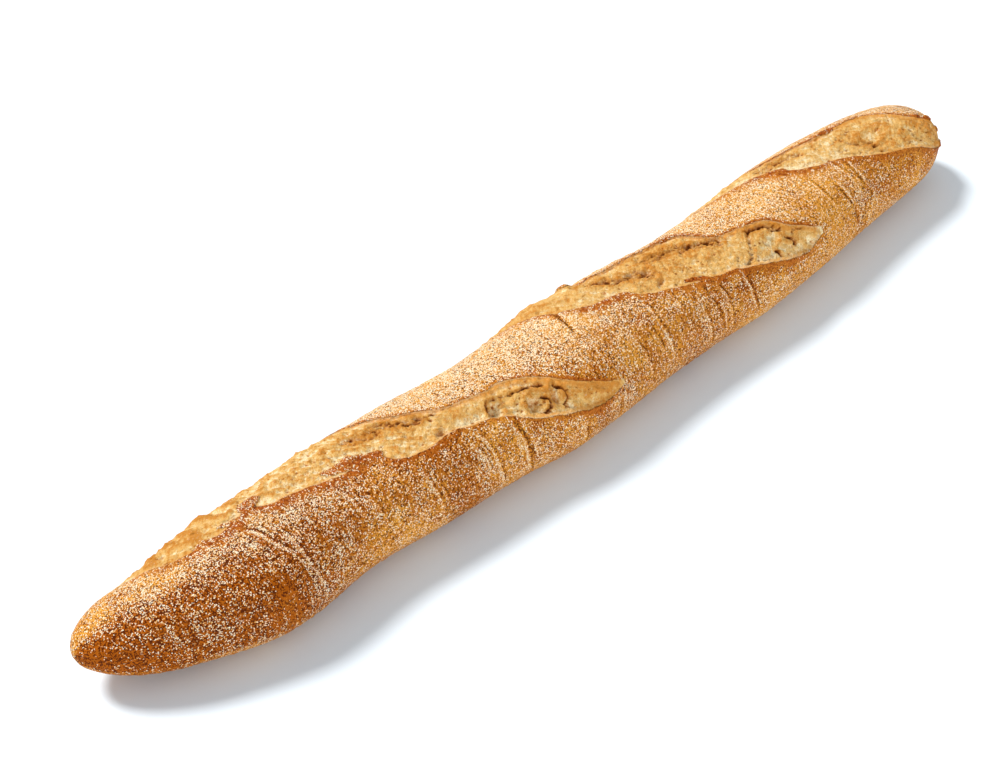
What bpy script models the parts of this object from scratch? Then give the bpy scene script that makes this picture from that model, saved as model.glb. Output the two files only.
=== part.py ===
"""A baguette: one baked loaf with three diagonal scores, lying on its flat underside.

Units are metres and +Z is up.  The loaf lies along X, with its near tip at -X and its far tip
at +X.  A point on its skin is named by its share of the length, from 0 to 1, and by its angle
round the section: 0 degrees faces -Y, 90 is the crown and 180 faces +Y.  The origin is the
middle of the bounding box's underside.
"""

import math
from dataclasses import dataclass

import bmesh
import bpy
from mathutils import Vector

NAME = "baguette"

# The loaf's overall size and the form of its section.
LENGTH = 0.560
HEIGHT_TO_WIDTH = 0.76
CENTRE_HEIGHT = 0.0208      # of the section's centre above the surface it was baked on
CROWN_SHARE = 0.58          # of the height, from the centre up to the crown
BELLY_SHARE = 0.50          # of the height, from the centre down, before the base is flattened
SECTION_POWER = 2.2         # 2 is an ellipse, and more is squarer
NEAR_CAP = 0.085            # length over which each end rounds in to its tip
FAR_CAP = 0.063

# Share of the length, width of the loaf, and sideways drift of its centre.
STATIONS = (
    (0.00, 0.0610, 0.0085),
    (0.08, 0.0580, -0.0010),
    (0.16, 0.0650, -0.0040),
    (0.24, 0.0630, -0.0010),
    (0.32, 0.0650, -0.0025),
    (0.40, 0.0635, -0.0045),
    (0.46, 0.0685, -0.0055),
    (0.51, 0.0705, -0.0025),
    (0.57, 0.0660, -0.0020),
    (0.64, 0.0625, -0.0025),
    (0.71, 0.0640, -0.0020),
    (0.78, 0.0650, 0.0020),
    (0.85, 0.0610, 0.0050),
    (0.92, 0.0575, 0.0060),
    (1.00, 0.0700, 0.0055),
)

# The scores: how deep each one opens, how its lips stand, and how it fades at its ends.
SCORE_DEPTH = 0.0034
SCORE_WALL_POWER = 4        # a higher power gives a flatter bed and steeper walls
FULL_DEPTH_SPREAD = 24.0    # degrees between the lips where a score reaches its full depth
LIP_HEIGHT = 0.0012
LIP_SPREAD = 5.0            # degrees

# How finely the skin is divided.
SIDES = 44
NEAR_CAP_RINGS = 15
BODY_RINGS = 58
FAR_CAP_RINGS = 12
CROWN_CROWDING = 0.4        # moves sides from the plain belly to the scored crown

CRUST_COLOUR = (0.520, 0.215, 0.060, 1.0)
CRUST_ROUGHNESS = 0.72


@dataclass(frozen=True)
class Score:
    """One opened cut, its two lips as (share of the length, degrees round the section)."""

    front_lip: tuple
    back_lip: tuple


SCORES = (
    Score(
        front_lip=((0.05, 150), (0.08, 120), (0.12, 102), (0.20, 91), (0.26, 76),
                   (0.32, 58), (0.40, 43), (0.45, 22), (0.51, 12)),
        back_lip=((0.05, 152), (0.12, 155), (0.28, 146), (0.31, 118), (0.345, 89),
                  (0.41, 79), (0.45, 55), (0.51, 14)),
    ),
    Score(
        front_lip=((0.43, 155), (0.47, 132), (0.50, 104), (0.56, 85), (0.62, 56),
                   (0.68, 42), (0.73, 24), (0.78, 24)),
        back_lip=((0.43, 157), (0.50, 150), (0.55, 142), (0.60, 130), (0.645, 126),
                  (0.675, 87), (0.72, 73), (0.745, 52), (0.78, 28)),
    ),
    Score(
        front_lip=((0.69, 155), (0.72, 136), (0.77, 117), (0.80, 92), (0.86, 66),
                   (0.92, 42), (0.98, 12)),
        back_lip=((0.69, 157), (0.76, 140), (0.81, 128), (0.86, 119), (0.92, 114),
                  (0.945, 90), (0.98, 24)),
    ),
)


def clear_scene():
    """Remove every object that the file opened with."""
    for item in list(bpy.data.objects):
        bpy.data.objects.remove(item, do_unlink=True)


def smooth_curve(knots, share, column=1):
    """Read a smooth curve through rows of knots at a share of the length."""
    share = min(max(share, knots[0][0]), knots[-1][0])
    last = len(knots) - 1
    index = max(i for i in range(last) if knots[i][0] <= share)

    def slope(i):
        """Take the slope at a knot from the knots on each side of it."""
        low = knots[max(i - 1, 0)]
        high = knots[min(i + 1, last)]
        return (high[column] - low[column]) / (high[0] - low[0])

    start = knots[index]
    end = knots[index + 1]
    span = end[0] - start[0]
    t = (share - start[0]) / span
    stay = 2.0 * t ** 3 - 3.0 * t ** 2 + 1.0
    value = stay * start[column] + (1.0 - stay) * end[column]
    value += (t ** 3 - 2.0 * t ** 2 + t) * span * slope(index)
    value += (t ** 3 - t ** 2) * span * slope(index + 1)
    return value


def straight_curve(knots, share):
    """Read the straight runs between rows of knots at a share of the length."""
    for start, end in zip(knots, knots[1:]):
        if start[0] <= share <= end[0]:
            return start[1] + (end[1] - start[1]) * (share - start[0]) / (end[0] - start[0])
    return None


def ring_distance(ring):
    """Place a ring along the loaf: quarter turns over the caps, even steps over the body."""
    body = LENGTH - NEAR_CAP - FAR_CAP
    if ring < NEAR_CAP_RINGS:
        return NEAR_CAP * (1.0 - math.cos(0.5 * math.pi * ring / NEAR_CAP_RINGS))
    ring -= NEAR_CAP_RINGS
    if ring < BODY_RINGS:
        return NEAR_CAP + body * ring / BODY_RINGS
    ring -= BODY_RINGS
    return LENGTH - FAR_CAP * (1.0 - math.sin(0.5 * math.pi * ring / FAR_CAP_RINGS))


def cap_scale(distance):
    """Scale the section down towards each tip, as a quarter ellipse."""
    near = 1.0 - min(distance / NEAR_CAP, 1.0)
    far = 1.0 - min((LENGTH - distance) / FAR_CAP, 1.0)
    return math.sqrt(max(1.0 - near ** 2, 0.0)) * math.sqrt(max(1.0 - far ** 2, 0.0))


def section_radius(width, degrees):
    """Measure from the section's centre to the skin: a superellipse, taller above its centre."""
    across = math.cos(math.radians(degrees))
    up = math.sin(math.radians(degrees))
    share = CROWN_SHARE if up > 0.0 else BELLY_SHARE
    half_height = share * HEIGHT_TO_WIDTH * width
    total = abs(2.0 * across / width) ** SECTION_POWER + abs(up / half_height) ** SECTION_POWER
    return total ** (-1.0 / SECTION_POWER)


def score_relief(score, share, degrees):
    """Give how far one score moves the skin: down in its bed, and up along its back lip."""
    front = straight_curve(score.front_lip, share)
    back = straight_curve(score.back_lip, share)
    if front is None:
        return 0.0
    spread = back - front
    fade = min(spread / FULL_DEPTH_SPREAD, 1.0)
    relief = LIP_HEIGHT * fade * math.exp(-((degrees - back) / LIP_SPREAD) ** 2)
    across = 2.0 * (degrees - front) / spread - 1.0
    if abs(across) < 1.0:
        relief -= SCORE_DEPTH * fade * (1.0 - abs(across) ** SCORE_WALL_POWER)
    return relief


def skin_point(ring, turn):
    """Place one point of the skin from its ring and its turn round the section, in radians."""
    distance = ring_distance(ring)
    share = distance / LENGTH
    scale = cap_scale(distance)
    degrees = math.degrees(turn + CROWN_CROWDING * math.cos(turn)) % 360.0
    radius = section_radius(smooth_curve(STATIONS, share), degrees) * scale
    radius += scale * sum(score_relief(score, share, degrees) for score in SCORES)
    side = smooth_curve(STATIONS, share, column=2) - radius * math.cos(math.radians(degrees))
    height = CENTRE_HEIGHT + radius * math.sin(math.radians(degrees))
    return Vector((distance - 0.5 * LENGTH, side, max(height, 0.0)))


def crust_material():
    """Make the golden brown, dull crust."""
    material = bpy.data.materials.new("baked_crust")
    material.use_nodes = True
    shader = material.node_tree.nodes["Principled BSDF"]
    shader.inputs["Base Color"].default_value = CRUST_COLOUR
    shader.inputs["Roughness"].default_value = CRUST_ROUGHNESS
    shader.inputs["Metallic"].default_value = 0.0
    return material


def loaf_mesh():
    """Shape a sphere, with its poles at the tips, into the loaf."""
    rings = NEAR_CAP_RINGS + BODY_RINGS + FAR_CAP_RINGS
    shape = bmesh.new()
    bmesh.ops.create_uvsphere(shape, u_segments=SIDES, v_segments=rings, radius=1.0)
    for vertex in shape.verts:
        polar = math.acos(max(-1.0, min(1.0, -vertex.co.z)))
        turn = math.atan2(vertex.co.y, vertex.co.x)
        vertex.co = skin_point(round(polar / math.pi * rings), turn)
    sides = [vertex.co.y for vertex in shape.verts]
    middle = 0.5 * (min(sides) + max(sides))
    bmesh.ops.translate(shape, verts=shape.verts, vec=Vector((0.0, -middle, 0.0)))
    bmesh.ops.recalc_face_normals(shape, faces=shape.faces)
    mesh = bpy.data.meshes.new(NAME)
    shape.to_mesh(mesh)
    shape.free()
    return mesh


def build_loaf():
    """Put the loaf in its own collection, smooth shaded and with its crust."""
    mesh = loaf_mesh()
    mesh.materials.append(crust_material())
    mesh.shade_smooth()
    mesh.set_sharp_from_angle(angle=math.radians(50.0))
    collection = bpy.data.collections.new(NAME)
    bpy.context.scene.collection.children.link(collection)
    collection.objects.link(bpy.data.objects.new(NAME, mesh))


clear_scene()
build_loaf()
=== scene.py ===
"""The looks of a baguette: its floured crust, and the crumb torn open by its three scores.

Lengths are metres and +Z is up.  The loaf lies along X.  A point on its skin is named by its
share of the length, from 0 at the near tip to 1 at the far tip, and by its angle round the
section in degrees: 0 faces -Y, 90 is the crown and 180 faces +Y.
"""

from __future__ import annotations

import logging
import math
import sys
from dataclasses import dataclass, field, fields
from enum import Enum

import bpy
import numpy as np
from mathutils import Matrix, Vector
from numpy.typing import NDArray

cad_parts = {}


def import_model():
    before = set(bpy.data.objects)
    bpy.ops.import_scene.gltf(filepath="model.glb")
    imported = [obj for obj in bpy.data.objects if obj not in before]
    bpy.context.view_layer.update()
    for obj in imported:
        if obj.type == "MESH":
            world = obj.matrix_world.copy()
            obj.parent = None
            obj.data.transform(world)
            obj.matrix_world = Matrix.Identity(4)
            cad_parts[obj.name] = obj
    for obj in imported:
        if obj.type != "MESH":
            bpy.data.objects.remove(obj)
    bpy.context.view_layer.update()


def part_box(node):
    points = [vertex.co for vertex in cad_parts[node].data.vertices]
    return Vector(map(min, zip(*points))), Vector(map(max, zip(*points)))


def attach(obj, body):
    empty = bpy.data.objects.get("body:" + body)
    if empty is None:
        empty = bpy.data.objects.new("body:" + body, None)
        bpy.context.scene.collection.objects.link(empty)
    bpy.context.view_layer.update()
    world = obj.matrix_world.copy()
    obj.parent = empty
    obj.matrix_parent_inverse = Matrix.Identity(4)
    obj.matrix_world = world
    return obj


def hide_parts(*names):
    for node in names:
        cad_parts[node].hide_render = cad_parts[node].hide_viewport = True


Array = NDArray[np.float64]
Knots = tuple[tuple[float, float], ...]
Span = tuple[float, float]
Colour = tuple[float, float, float, float]
Coat = tuple[float, float, float, float]
Socket = bpy.types.NodeSocket

LOG = logging.getLogger("baguette")
NODE = "baguette"
MM = 0.001
TINY = 1e-6        # metres, to keep from dividing by nothing


def paint(red: int, green: int, blue: int) -> Colour:
    """Turn a colour given as 0 to 255 on a screen into the linear colour a shader takes.

    Args:
        red: The red value.
        green: The green value.
        blue: The blue value.

    Returns:
        The linear colour, opaque.
    """
    linear = []
    for value in (red, green, blue):
        level = value / 255.0
        linear.append(level / 12.92 if level <= 0.04045 else ((level + 0.055) / 1.055) ** 2.4)
    return (linear[0], linear[1], linear[2], 1.0)


def ease(value: Array, low: float, high: float) -> Array:
    """Rise smoothly from 0 at low to 1 at high.

    Args:
        value: Where to read the rise.
        low: Where it starts.
        high: Where it ends; below low, the rise becomes a fall.

    Returns:
        The eased values.
    """
    t = np.clip((value - low) / (high - low), 0.0, 1.0)
    return t * t * (3.0 - 2.0 * t)


def bell(value: Array, width: float) -> Array:
    """Give a bump of height 1 at zero that has faded by about one width from it."""
    return np.exp(-((value / width) ** 2))


def smooth_curve(knots: tuple[tuple[float, ...], ...], share: Array, column: int = 1) -> Array:
    """Read a smooth curve through rows of knots.

    Args:
        knots: Rows that start with a share of the length, in rising order.
        share: Where to read the curve; outside the knots it keeps its end value.
        column: Which value of the rows to read.

    Returns:
        The curve's values.
    """
    rows = np.array(knots, float)
    places = rows[:, 0]
    values = rows[:, column]
    slopes = np.empty(len(rows))
    slopes[1:-1] = (values[2:] - values[:-2]) / (places[2:] - places[:-2])
    slopes[0] = (values[1] - values[0]) / (places[1] - places[0])
    slopes[-1] = (values[-1] - values[-2]) / (places[-1] - places[-2])
    share = np.clip(share, places[0], places[-1])
    index = np.clip(np.searchsorted(places, share, side="right") - 1, 0, len(rows) - 2)
    span = places[index + 1] - places[index]
    t = (share - places[index]) / span
    stay = 2.0 * t**3 - 3.0 * t**2 + 1.0
    curve = stay * values[index] + (1.0 - stay) * values[index + 1]
    curve += (t**3 - 2.0 * t**2 + t) * span * slopes[index]
    curve += (t**3 - t**2) * span * slopes[index + 1]
    return curve


def smoothed(values: Array, axis: int, reach: int) -> Array:
    """Average a grid over its neighbours.

    Args:
        values: The grid's values, whose second axis is closed on itself.
        axis: The axis to average along.
        reach: How many neighbours on each side.

    Returns:
        The averaged values.
    """
    total = np.zeros_like(values)
    for step in range(-reach, reach + 1):
        total += np.roll(values, step, axis=axis)
    return total / (2 * reach + 1)


class Grain:
    """Repeatable noise in space, the same on every run.

    A plain number added to the points reads another stretch of it, so that no two features
    that share a noise follow each other.
    """

    ENTRIES = 256           # of the random tables; a power of two
    GAIN = 1.7              # brings gradient noise to about -1 to 1
    LAYER_SHIFT = 17.3      # keeps the layers of one noise from lining up

    def __init__(self, seed: int) -> None:
        """Lay out the lattice's random slopes and spots.

        Args:
            seed: Which noise this is.
        """
        draw = np.random.default_rng(seed)
        self.order = draw.permutation(self.ENTRIES)
        slopes = draw.normal(size=(self.ENTRIES, 3))
        self.slopes = slopes / np.linalg.norm(slopes, axis=1, keepdims=True)
        self.spots = draw.random((self.ENTRIES, 3))

    def _pick(self, cell: NDArray[np.int64]) -> NDArray[np.int64]:
        """Give each lattice cell its own entry of the random tables.

        Args:
            cell: The cells' whole coordinates.

        Returns:
            One entry number for each cell.
        """
        last = self.ENTRIES - 1
        entry = self.order[cell[..., 0] & last]
        entry = self.order[(entry + cell[..., 1]) & last]
        return self.order[(entry + cell[..., 2]) & last]

    def swell(self, points: Array, size: float) -> Array:
        """Read gradient noise, about -1 to 1, whose swells are about one size apart.

        Args:
            points: Points in space, with three values in the last axis.
            size: The lattice spacing.

        Returns:
            One value for each point.
        """
        place = points / size
        cell = np.floor(place).astype(np.int64)
        part = place - cell
        fade = part**3 * (part * (part * 6.0 - 15.0) + 10.0)
        total = np.zeros(points.shape[:-1])
        for corner in np.ndindex(2, 2, 2):
            step = np.array(corner)
            slope = self.slopes[self._pick(cell + step)]
            weight = np.prod(np.where(step == 1, fade, 1.0 - fade), axis=-1)
            total += weight * np.sum(slope * (part - step), axis=-1)
        return total * self.GAIN

    def layers(self, points: Array, size: float, count: int = 3, keep: float = 0.5) -> Array:
        """Add up ever finer swells.

        Args:
            points: Points in space.
            size: The spacing of the coarsest layer; each next one is half of it.
            count: How many layers.
            keep: How strong each next layer is beside the one before.

        Returns:
            One value for each point, about -1 to 1.
        """
        total = np.zeros(points.shape[:-1])
        weight = 1.0
        whole = 0.0
        for _ in range(count):
            total += weight * self.swell(points + self.LAYER_SHIFT * whole, size)
            whole += weight
            weight *= keep
            size *= 0.5
        return total / whole

    def pores(self, points: Array, size: float) -> Array:
        """Measure how far each point is from the nearest of many scattered spots.

        Args:
            points: Points in space.
            size: The mean spacing of the spots.

        Returns:
            Distances in units of size, from 0 at a spot to about 1 between spots.
        """
        place = points / size
        cell = np.floor(place).astype(np.int64)
        nearest = np.full(points.shape[:-1], np.inf)
        for corner in np.ndindex(3, 3, 3):
            step = np.array(corner) - 1
            spot = cell + step + self.spots[self._pick(cell + step)]
            nearest = np.minimum(nearest, np.linalg.norm(place - spot, axis=-1))
        return nearest


@dataclass(frozen=True)
class Swells:
    """One feature's own stretch of a noise.

    Size is that of the coarsest swells, in metres, and each layer is half as coarse as the
    one before and keep times as strong.  Swing is how strong the sum is, and shift picks
    the stretch.
    """

    size: float
    count: int = 3
    keep: float = 0.5
    swing: float = 1.0
    shift: float = 0.0

    def read(self, noise: Grain, points: Array) -> Array:
        """Read the swells from a noise at points in space."""
        return self.swing * noise.layers(points + self.shift, self.size, self.count, self.keep)


@dataclass(frozen=True)
class LoafForm:
    """The plain outer form of the loaf, before it tears, blisters and creases."""

    length: float
    height_to_width: float = 0.76
    centre_height: float = 0.0208
    crown_share: float = 0.58
    belly_share: float = 0.50
    section_power: float = 2.2
    near_cap: float = 0.085
    far_cap: float = 0.063
    stations: tuple[tuple[float, float, float], ...] = (
        (0.00, 0.0610, 0.0085),
        (0.08, 0.0580, -0.0010),
        (0.16, 0.0650, -0.0040),
        (0.24, 0.0630, -0.0010),
        (0.32, 0.0650, -0.0025),
        (0.40, 0.0635, -0.0045),
        (0.46, 0.0685, -0.0055),
        (0.51, 0.0705, -0.0025),
        (0.57, 0.0660, -0.0020),
        (0.64, 0.0625, -0.0025),
        (0.71, 0.0640, -0.0020),
        (0.78, 0.0650, 0.0020),
        (0.85, 0.0610, 0.0050),
        (0.92, 0.0575, 0.0060),
        (1.00, 0.0700, 0.0055),
    )

    def cap_scale(self, distance: Array) -> Array:
        """Scale the section down towards each tip, as a quarter ellipse.

        Args:
            distance: Distances from the near tip, in metres.

        Returns:
            The scales, 0 to 1.
        """
        near = 1.0 - np.minimum(distance / self.near_cap, 1.0)
        far = 1.0 - np.minimum((self.length - distance) / self.far_cap, 1.0)
        both = np.clip(1.0 - near**2, 0.0, 1.0) * np.clip(1.0 - far**2, 0.0, 1.0)
        return np.sqrt(both)

    def radius(self, share: Array, degrees: Array) -> Array:
        """Measure from the section's centre to the skin.

        Args:
            share: Shares of the length.
            degrees: Angles round the section, in the same shape.

        Returns:
            The radii, in metres.
        """
        width = smooth_curve(self.stations, share)
        across = np.cos(np.radians(degrees))
        up = np.sin(np.radians(degrees))
        half_height = np.where(up > 0.0, self.crown_share, self.belly_share)
        half_height = half_height * self.height_to_width * width
        total = np.abs(2.0 * across / width) ** self.section_power
        total += np.abs(up / half_height) ** self.section_power
        return total ** (-1.0 / self.section_power) * self.cap_scale(share * self.length)

    def skin(self, share: Array, degrees: Array) -> Array:
        """Place points of the plain skin.

        Args:
            share: Shares of the length.
            degrees: Angles round the section, in the same shape.

        Returns:
            The points, with the loaf's middle at X = 0 and its base at Z = 0.
        """
        radius = self.radius(share, degrees)
        drift = smooth_curve(self.stations, share, column=2)
        points = np.empty(share.shape + (3,))
        points[..., 0] = (share - 0.5) * self.length
        points[..., 1] = drift - radius * np.cos(np.radians(degrees))
        height = self.centre_height + radius * np.sin(np.radians(degrees))
        points[..., 2] = np.maximum(height, 0.0)
        return points


@dataclass(frozen=True)
class Score:
    """One slash of the blade, opened by the oven into a torn, sunken bed of crumb.

    Every knot starts with a share of the length.  It goes on with degrees round the section
    for the lips, with 0 to 1 for brown, and with millimetres for the others.
    """

    front_lip: Knots
    back_lip: Knots
    bed: Knots          # how high the crumb arches above the skin, or sinks below it
    ear: Knots          # how high the back lip stands
    step: Knots         # how far the crumb drops behind the front lip
    overhang: Knots     # how far the back lip leans over the crumb
    tuck: Knots         # how deeply the crumb is hollowed below the back lip
    shelf: Knots        # how far that hollow lies from the back lip
    rim: Knots          # how high the front lip stands
    brown: Knots        # how darkly the lips are baked

    @property
    def start(self) -> float:
        """The share where the score begins."""
        return self.front_lip[0][0]

    @property
    def end(self) -> float:
        """The share where the score ends."""
        return self.front_lip[-1][0]


SCORES = (
    Score(
        front_lip=((0.050, 150), (0.074, 128), (0.086, 112), (0.100, 105), (0.120, 101),
                   (0.147, 101), (0.163, 106), (0.179, 97), (0.202, 91), (0.230, 81),
                   (0.261, 75), (0.277, 79), (0.290, 63), (0.321, 57), (0.341, 60),
                   (0.357, 57), (0.390, 49), (0.417, 33), (0.442, 25), (0.475, 15),
                   (0.498, 14), (0.514, 17)),
        back_lip=((0.050, 153), (0.120, 158), (0.270, 152), (0.285, 137), (0.307, 117),
                  (0.318, 107), (0.335, 96), (0.346, 89), (0.360, 84), (0.390, 79),
                  (0.409, 80), (0.428, 70), (0.445, 59), (0.471, 39), (0.496, 26),
                  (0.514, 19)),
        bed=((0.05, 0.0), (0.08, 0.2), (0.12, 0.6), (0.16, 0.4), (0.22, 0.4), (0.27, -0.2),
             (0.31, -0.8), (0.36, -0.8), (0.40, -1.3), (0.45, -1.3), (0.50, -0.3), (0.514, 0.0)),
        ear=((0.05, 0.0), (0.10, 0.18), (0.20, 0.0), (0.27, 0.12), (0.31, 0.54), (0.38, 0.6),
             (0.45, 0.54), (0.50, 0.12), (0.514, 0.0)),
        step=((0.05, 0.0), (0.20, 0.3), (0.30, 0.8), (0.38, 1.4), (0.46, 1.5), (0.50, 0.8),
              (0.514, 0.0)),
        overhang=((0.05, 0.0), (0.27, 0.08), (0.30, 0.4), (0.34, 0.32), (0.36, 0.12),
                  (0.39, 0.24), (0.42, 0.28), (0.46, 0.12), (0.514, 0.0)),
        tuck=((0.05, 0.0), (0.26, 0.11), (0.29, 0.66), (0.325, 0.66), (0.345, 0.33),
              (0.37, 0.22), (0.40, 0.44), (0.44, 0.55), (0.47, 0.22), (0.514, 0.0)),
        shelf=((0.05, 0.0), (0.27, 1.0), (0.30, 1.5), (0.335, 1.2), (0.36, 1.0), (0.385, 3.0),
               (0.44, 3.5), (0.47, 2.0), (0.514, 0.0)),
        rim=((0.05, 0.0), (0.09, 0.3), (0.16, 0.7), (0.25, 0.8), (0.28, 0.4), (0.34, 0.5),
             (0.42, 0.4), (0.50, 0.2), (0.514, 0.0)),
        brown=((0.05, 0.4), (0.09, 0.7), (0.15, 1.0), (0.24, 1.0), (0.27, 0.7), (0.34, 0.5),
               (0.42, 0.4), (0.48, 0.6), (0.514, 0.0)),
    ),
    Score(
        front_lip=((0.430, 155), (0.454, 139), (0.470, 131), (0.490, 115), (0.499, 104),
                   (0.513, 96), (0.532, 88), (0.562, 84), (0.574, 72), (0.590, 65),
                   (0.615, 57), (0.650, 49), (0.675, 43), (0.711, 31), (0.733, 23),
                   (0.757, 18), (0.780, 24)),
        back_lip=((0.430, 158), (0.500, 155), (0.535, 146), (0.550, 138), (0.565, 130),
                  (0.600, 128), (0.644, 127), (0.657, 118), (0.667, 101), (0.679, 85),
                  (0.704, 78), (0.719, 73), (0.730, 67), (0.743, 54), (0.765, 38),
                  (0.780, 29)),
        bed=((0.43, 0.2), (0.49, 0.8), (0.54, 0.6), (0.58, -0.8), (0.64, -1.0), (0.68, -1.2),
             (0.72, -1.2), (0.76, -1.0), (0.78, 0.0)),
        ear=((0.43, 0.0), (0.50, 0.0), (0.54, 0.24), (0.57, 0.36), (0.61, 0.3), (0.64, 0.3),
             (0.67, 0.42), (0.72, 0.54), (0.76, 0.24), (0.78, 0.0)),
        step=((0.43, 0.0), (0.52, 0.4), (0.60, 0.9), (0.68, 1.3), (0.75, 1.4), (0.78, 0.0)),
        overhang=((0.43, 0.0), (0.52, 0.12), (0.55, 0.56), (0.59, 0.56), (0.63, 0.56),
                  (0.66, 0.64), (0.69, 0.24), (0.73, 0.32), (0.78, 0.0)),
        tuck=((0.43, 0.0), (0.53, 0.33), (0.56, 1.1), (0.595, 0.99), (0.61, 0.55),
              (0.635, 1.045), (0.67, 0.88), (0.69, 0.44), (0.71, 0.88), (0.74, 0.66),
              (0.78, 0.0)),
        shelf=((0.43, 0.0), (0.53, 1.0), (0.60, 1.2), (0.64, 1.2), (0.68, 1.5), (0.70, 3.0),
               (0.74, 3.5), (0.78, 1.0)),
        rim=((0.43, 0.0), (0.48, 0.4), (0.55, 0.7), (0.62, 0.7), (0.70, 0.5), (0.75, 0.4),
             (0.78, 0.0)),
        brown=((0.43, 0.3), (0.48, 0.7), (0.54, 0.9), (0.58, 0.6), (0.65, 0.7), (0.70, 0.6),
               (0.75, 0.6), (0.78, 0.4)),
    ),
    Score(
        front_lip=((0.690, 155), (0.717, 137), (0.746, 125), (0.770, 116), (0.786, 104),
                   (0.800, 92), (0.822, 80), (0.842, 74), (0.859, 67), (0.877, 58),
                   (0.894, 50), (0.915, 43), (0.938, 35), (0.965, 18), (0.990, 2)),
        back_lip=((0.690, 158), (0.750, 146), (0.783, 136), (0.807, 129), (0.828, 127),
                  (0.862, 119), (0.885, 119), (0.920, 117), (0.933, 106), (0.945, 91),
                  (0.957, 76), (0.969, 66), (0.990, 50)),
        bed=((0.69, 0.2), (0.76, 0.4), (0.81, -0.4), (0.86, -1.0), (0.90, -1.6), (0.94, -1.0),
             (0.97, -0.4), (0.99, -0.3)),
        ear=((0.69, 0.0), (0.77, 0.06), (0.82, 0.18), (0.87, 0.36), (0.92, 0.24), (0.96, 0.12),
             (0.99, 0.12)),
        step=((0.69, 0.0), (0.78, 0.5), (0.85, 0.9), (0.92, 1.2), (0.97, 0.8), (0.99, 0.4)),
        overhang=((0.69, 0.0), (0.78, 0.12), (0.83, 0.32), (0.87, 0.48), (0.92, 0.32),
                  (0.96, 0.12), (0.99, 0.08)),
        tuck=((0.69, 0.0), (0.76, 0.44), (0.80, 1.21), (0.84, 0.77), (0.88, 0.88), (0.92, 0.55),
              (0.96, 0.275), (0.99, 0.165)),
        shelf=((0.69, 0.0), (0.78, 1.0), (0.83, 1.5), (0.86, 2.5), (0.92, 3.0), (0.96, 2.5),
               (0.99, 2.0)),
        rim=((0.69, 0.0), (0.75, 0.5), (0.82, 0.7), (0.90, 0.6), (0.96, 0.5), (0.99, 0.2)),
        brown=((0.69, 0.3), (0.76, 0.8), (0.81, 0.9), (0.86, 0.6), (0.92, 0.6), (0.99, 0.7)),
    ),
)


@dataclass(frozen=True)
class Hollow:
    """A pit, dish or scallop torn in the crumb.

    Sizes are full lengths in millimetres.  Turn is in degrees: at 0 the long way lies along
    the loaf, and a positive turn swings its far end towards the crown.  Shade says how dark
    the shade painted in its bottom is, lean tips its deepest point and that shade to one of
    its long sides, and brim is how high its edge stands.
    """

    share: float
    degrees: float
    long: float
    wide: float
    deep: float
    turn: float = 0.0
    shade: float = 0.5
    lean: float = 0.0
    brim: float = 0.0


HOLLOWS = (
    # The first score: a dish, then three scallops in its smooth far half.
    Hollow(0.343, 84, 3.2, 2.0, 1.8, 0, 0.9),
    Hollow(0.337, 63, 9, 6.5, 2.0, 30, 0.35, 0.3, 0.4),
    Hollow(0.346, 61, 3.4, 2.2, 1.4, 0, 0.7),
    Hollow(0.389, 58, 13, 9, 3.0, 72, 0.12, -0.8, 0.8),
    Hollow(0.424, 44, 13, 10, 3.0, 70, 0.30, 0.8, 0.7),
    Hollow(0.443, 41, 14, 6, 2.6, 80, 0.35, 0.7, 0.8),
    Hollow(0.462, 38, 1.8, 1.3, 1.2, 0, 0.9),
    Hollow(0.473, 27, 1.4, 1.1, 0.9, 0, 0.8),
    # The second score: a small dish, then a bowl behind its ravine.
    Hollow(0.603, 74, 9, 5.0, 2.0, 35, 0.4, 0.3, 0.4),
    Hollow(0.721, 50, 17, 9, 1.3, 10, 0.0, 0.0, 0.5),
    # The third score: a bowl with two pits.
    Hollow(0.889, 102, 4.5, 2.2, 2.2, 45, 0.9),
    Hollow(0.898, 64, 4.5, 2.6, 2.4, -20, 0.9),
    Hollow(0.905, 79, 22, 11, 1.8, 0, 0.0, 0.0, 0.5),
)


@dataclass(frozen=True)
class Rift:
    """A ragged cave or slit that follows a path through the crumb.

    The path is (share, degrees).  Width and depth are in millimetres, shade says how dark the
    shade painted in it is, and gaps says how much of the path is bridged by strands of crumb,
    0 to 1.
    """

    path: Knots
    width: float
    depth: float
    shade: float = 0.9
    gaps: float = 0.3


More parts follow.
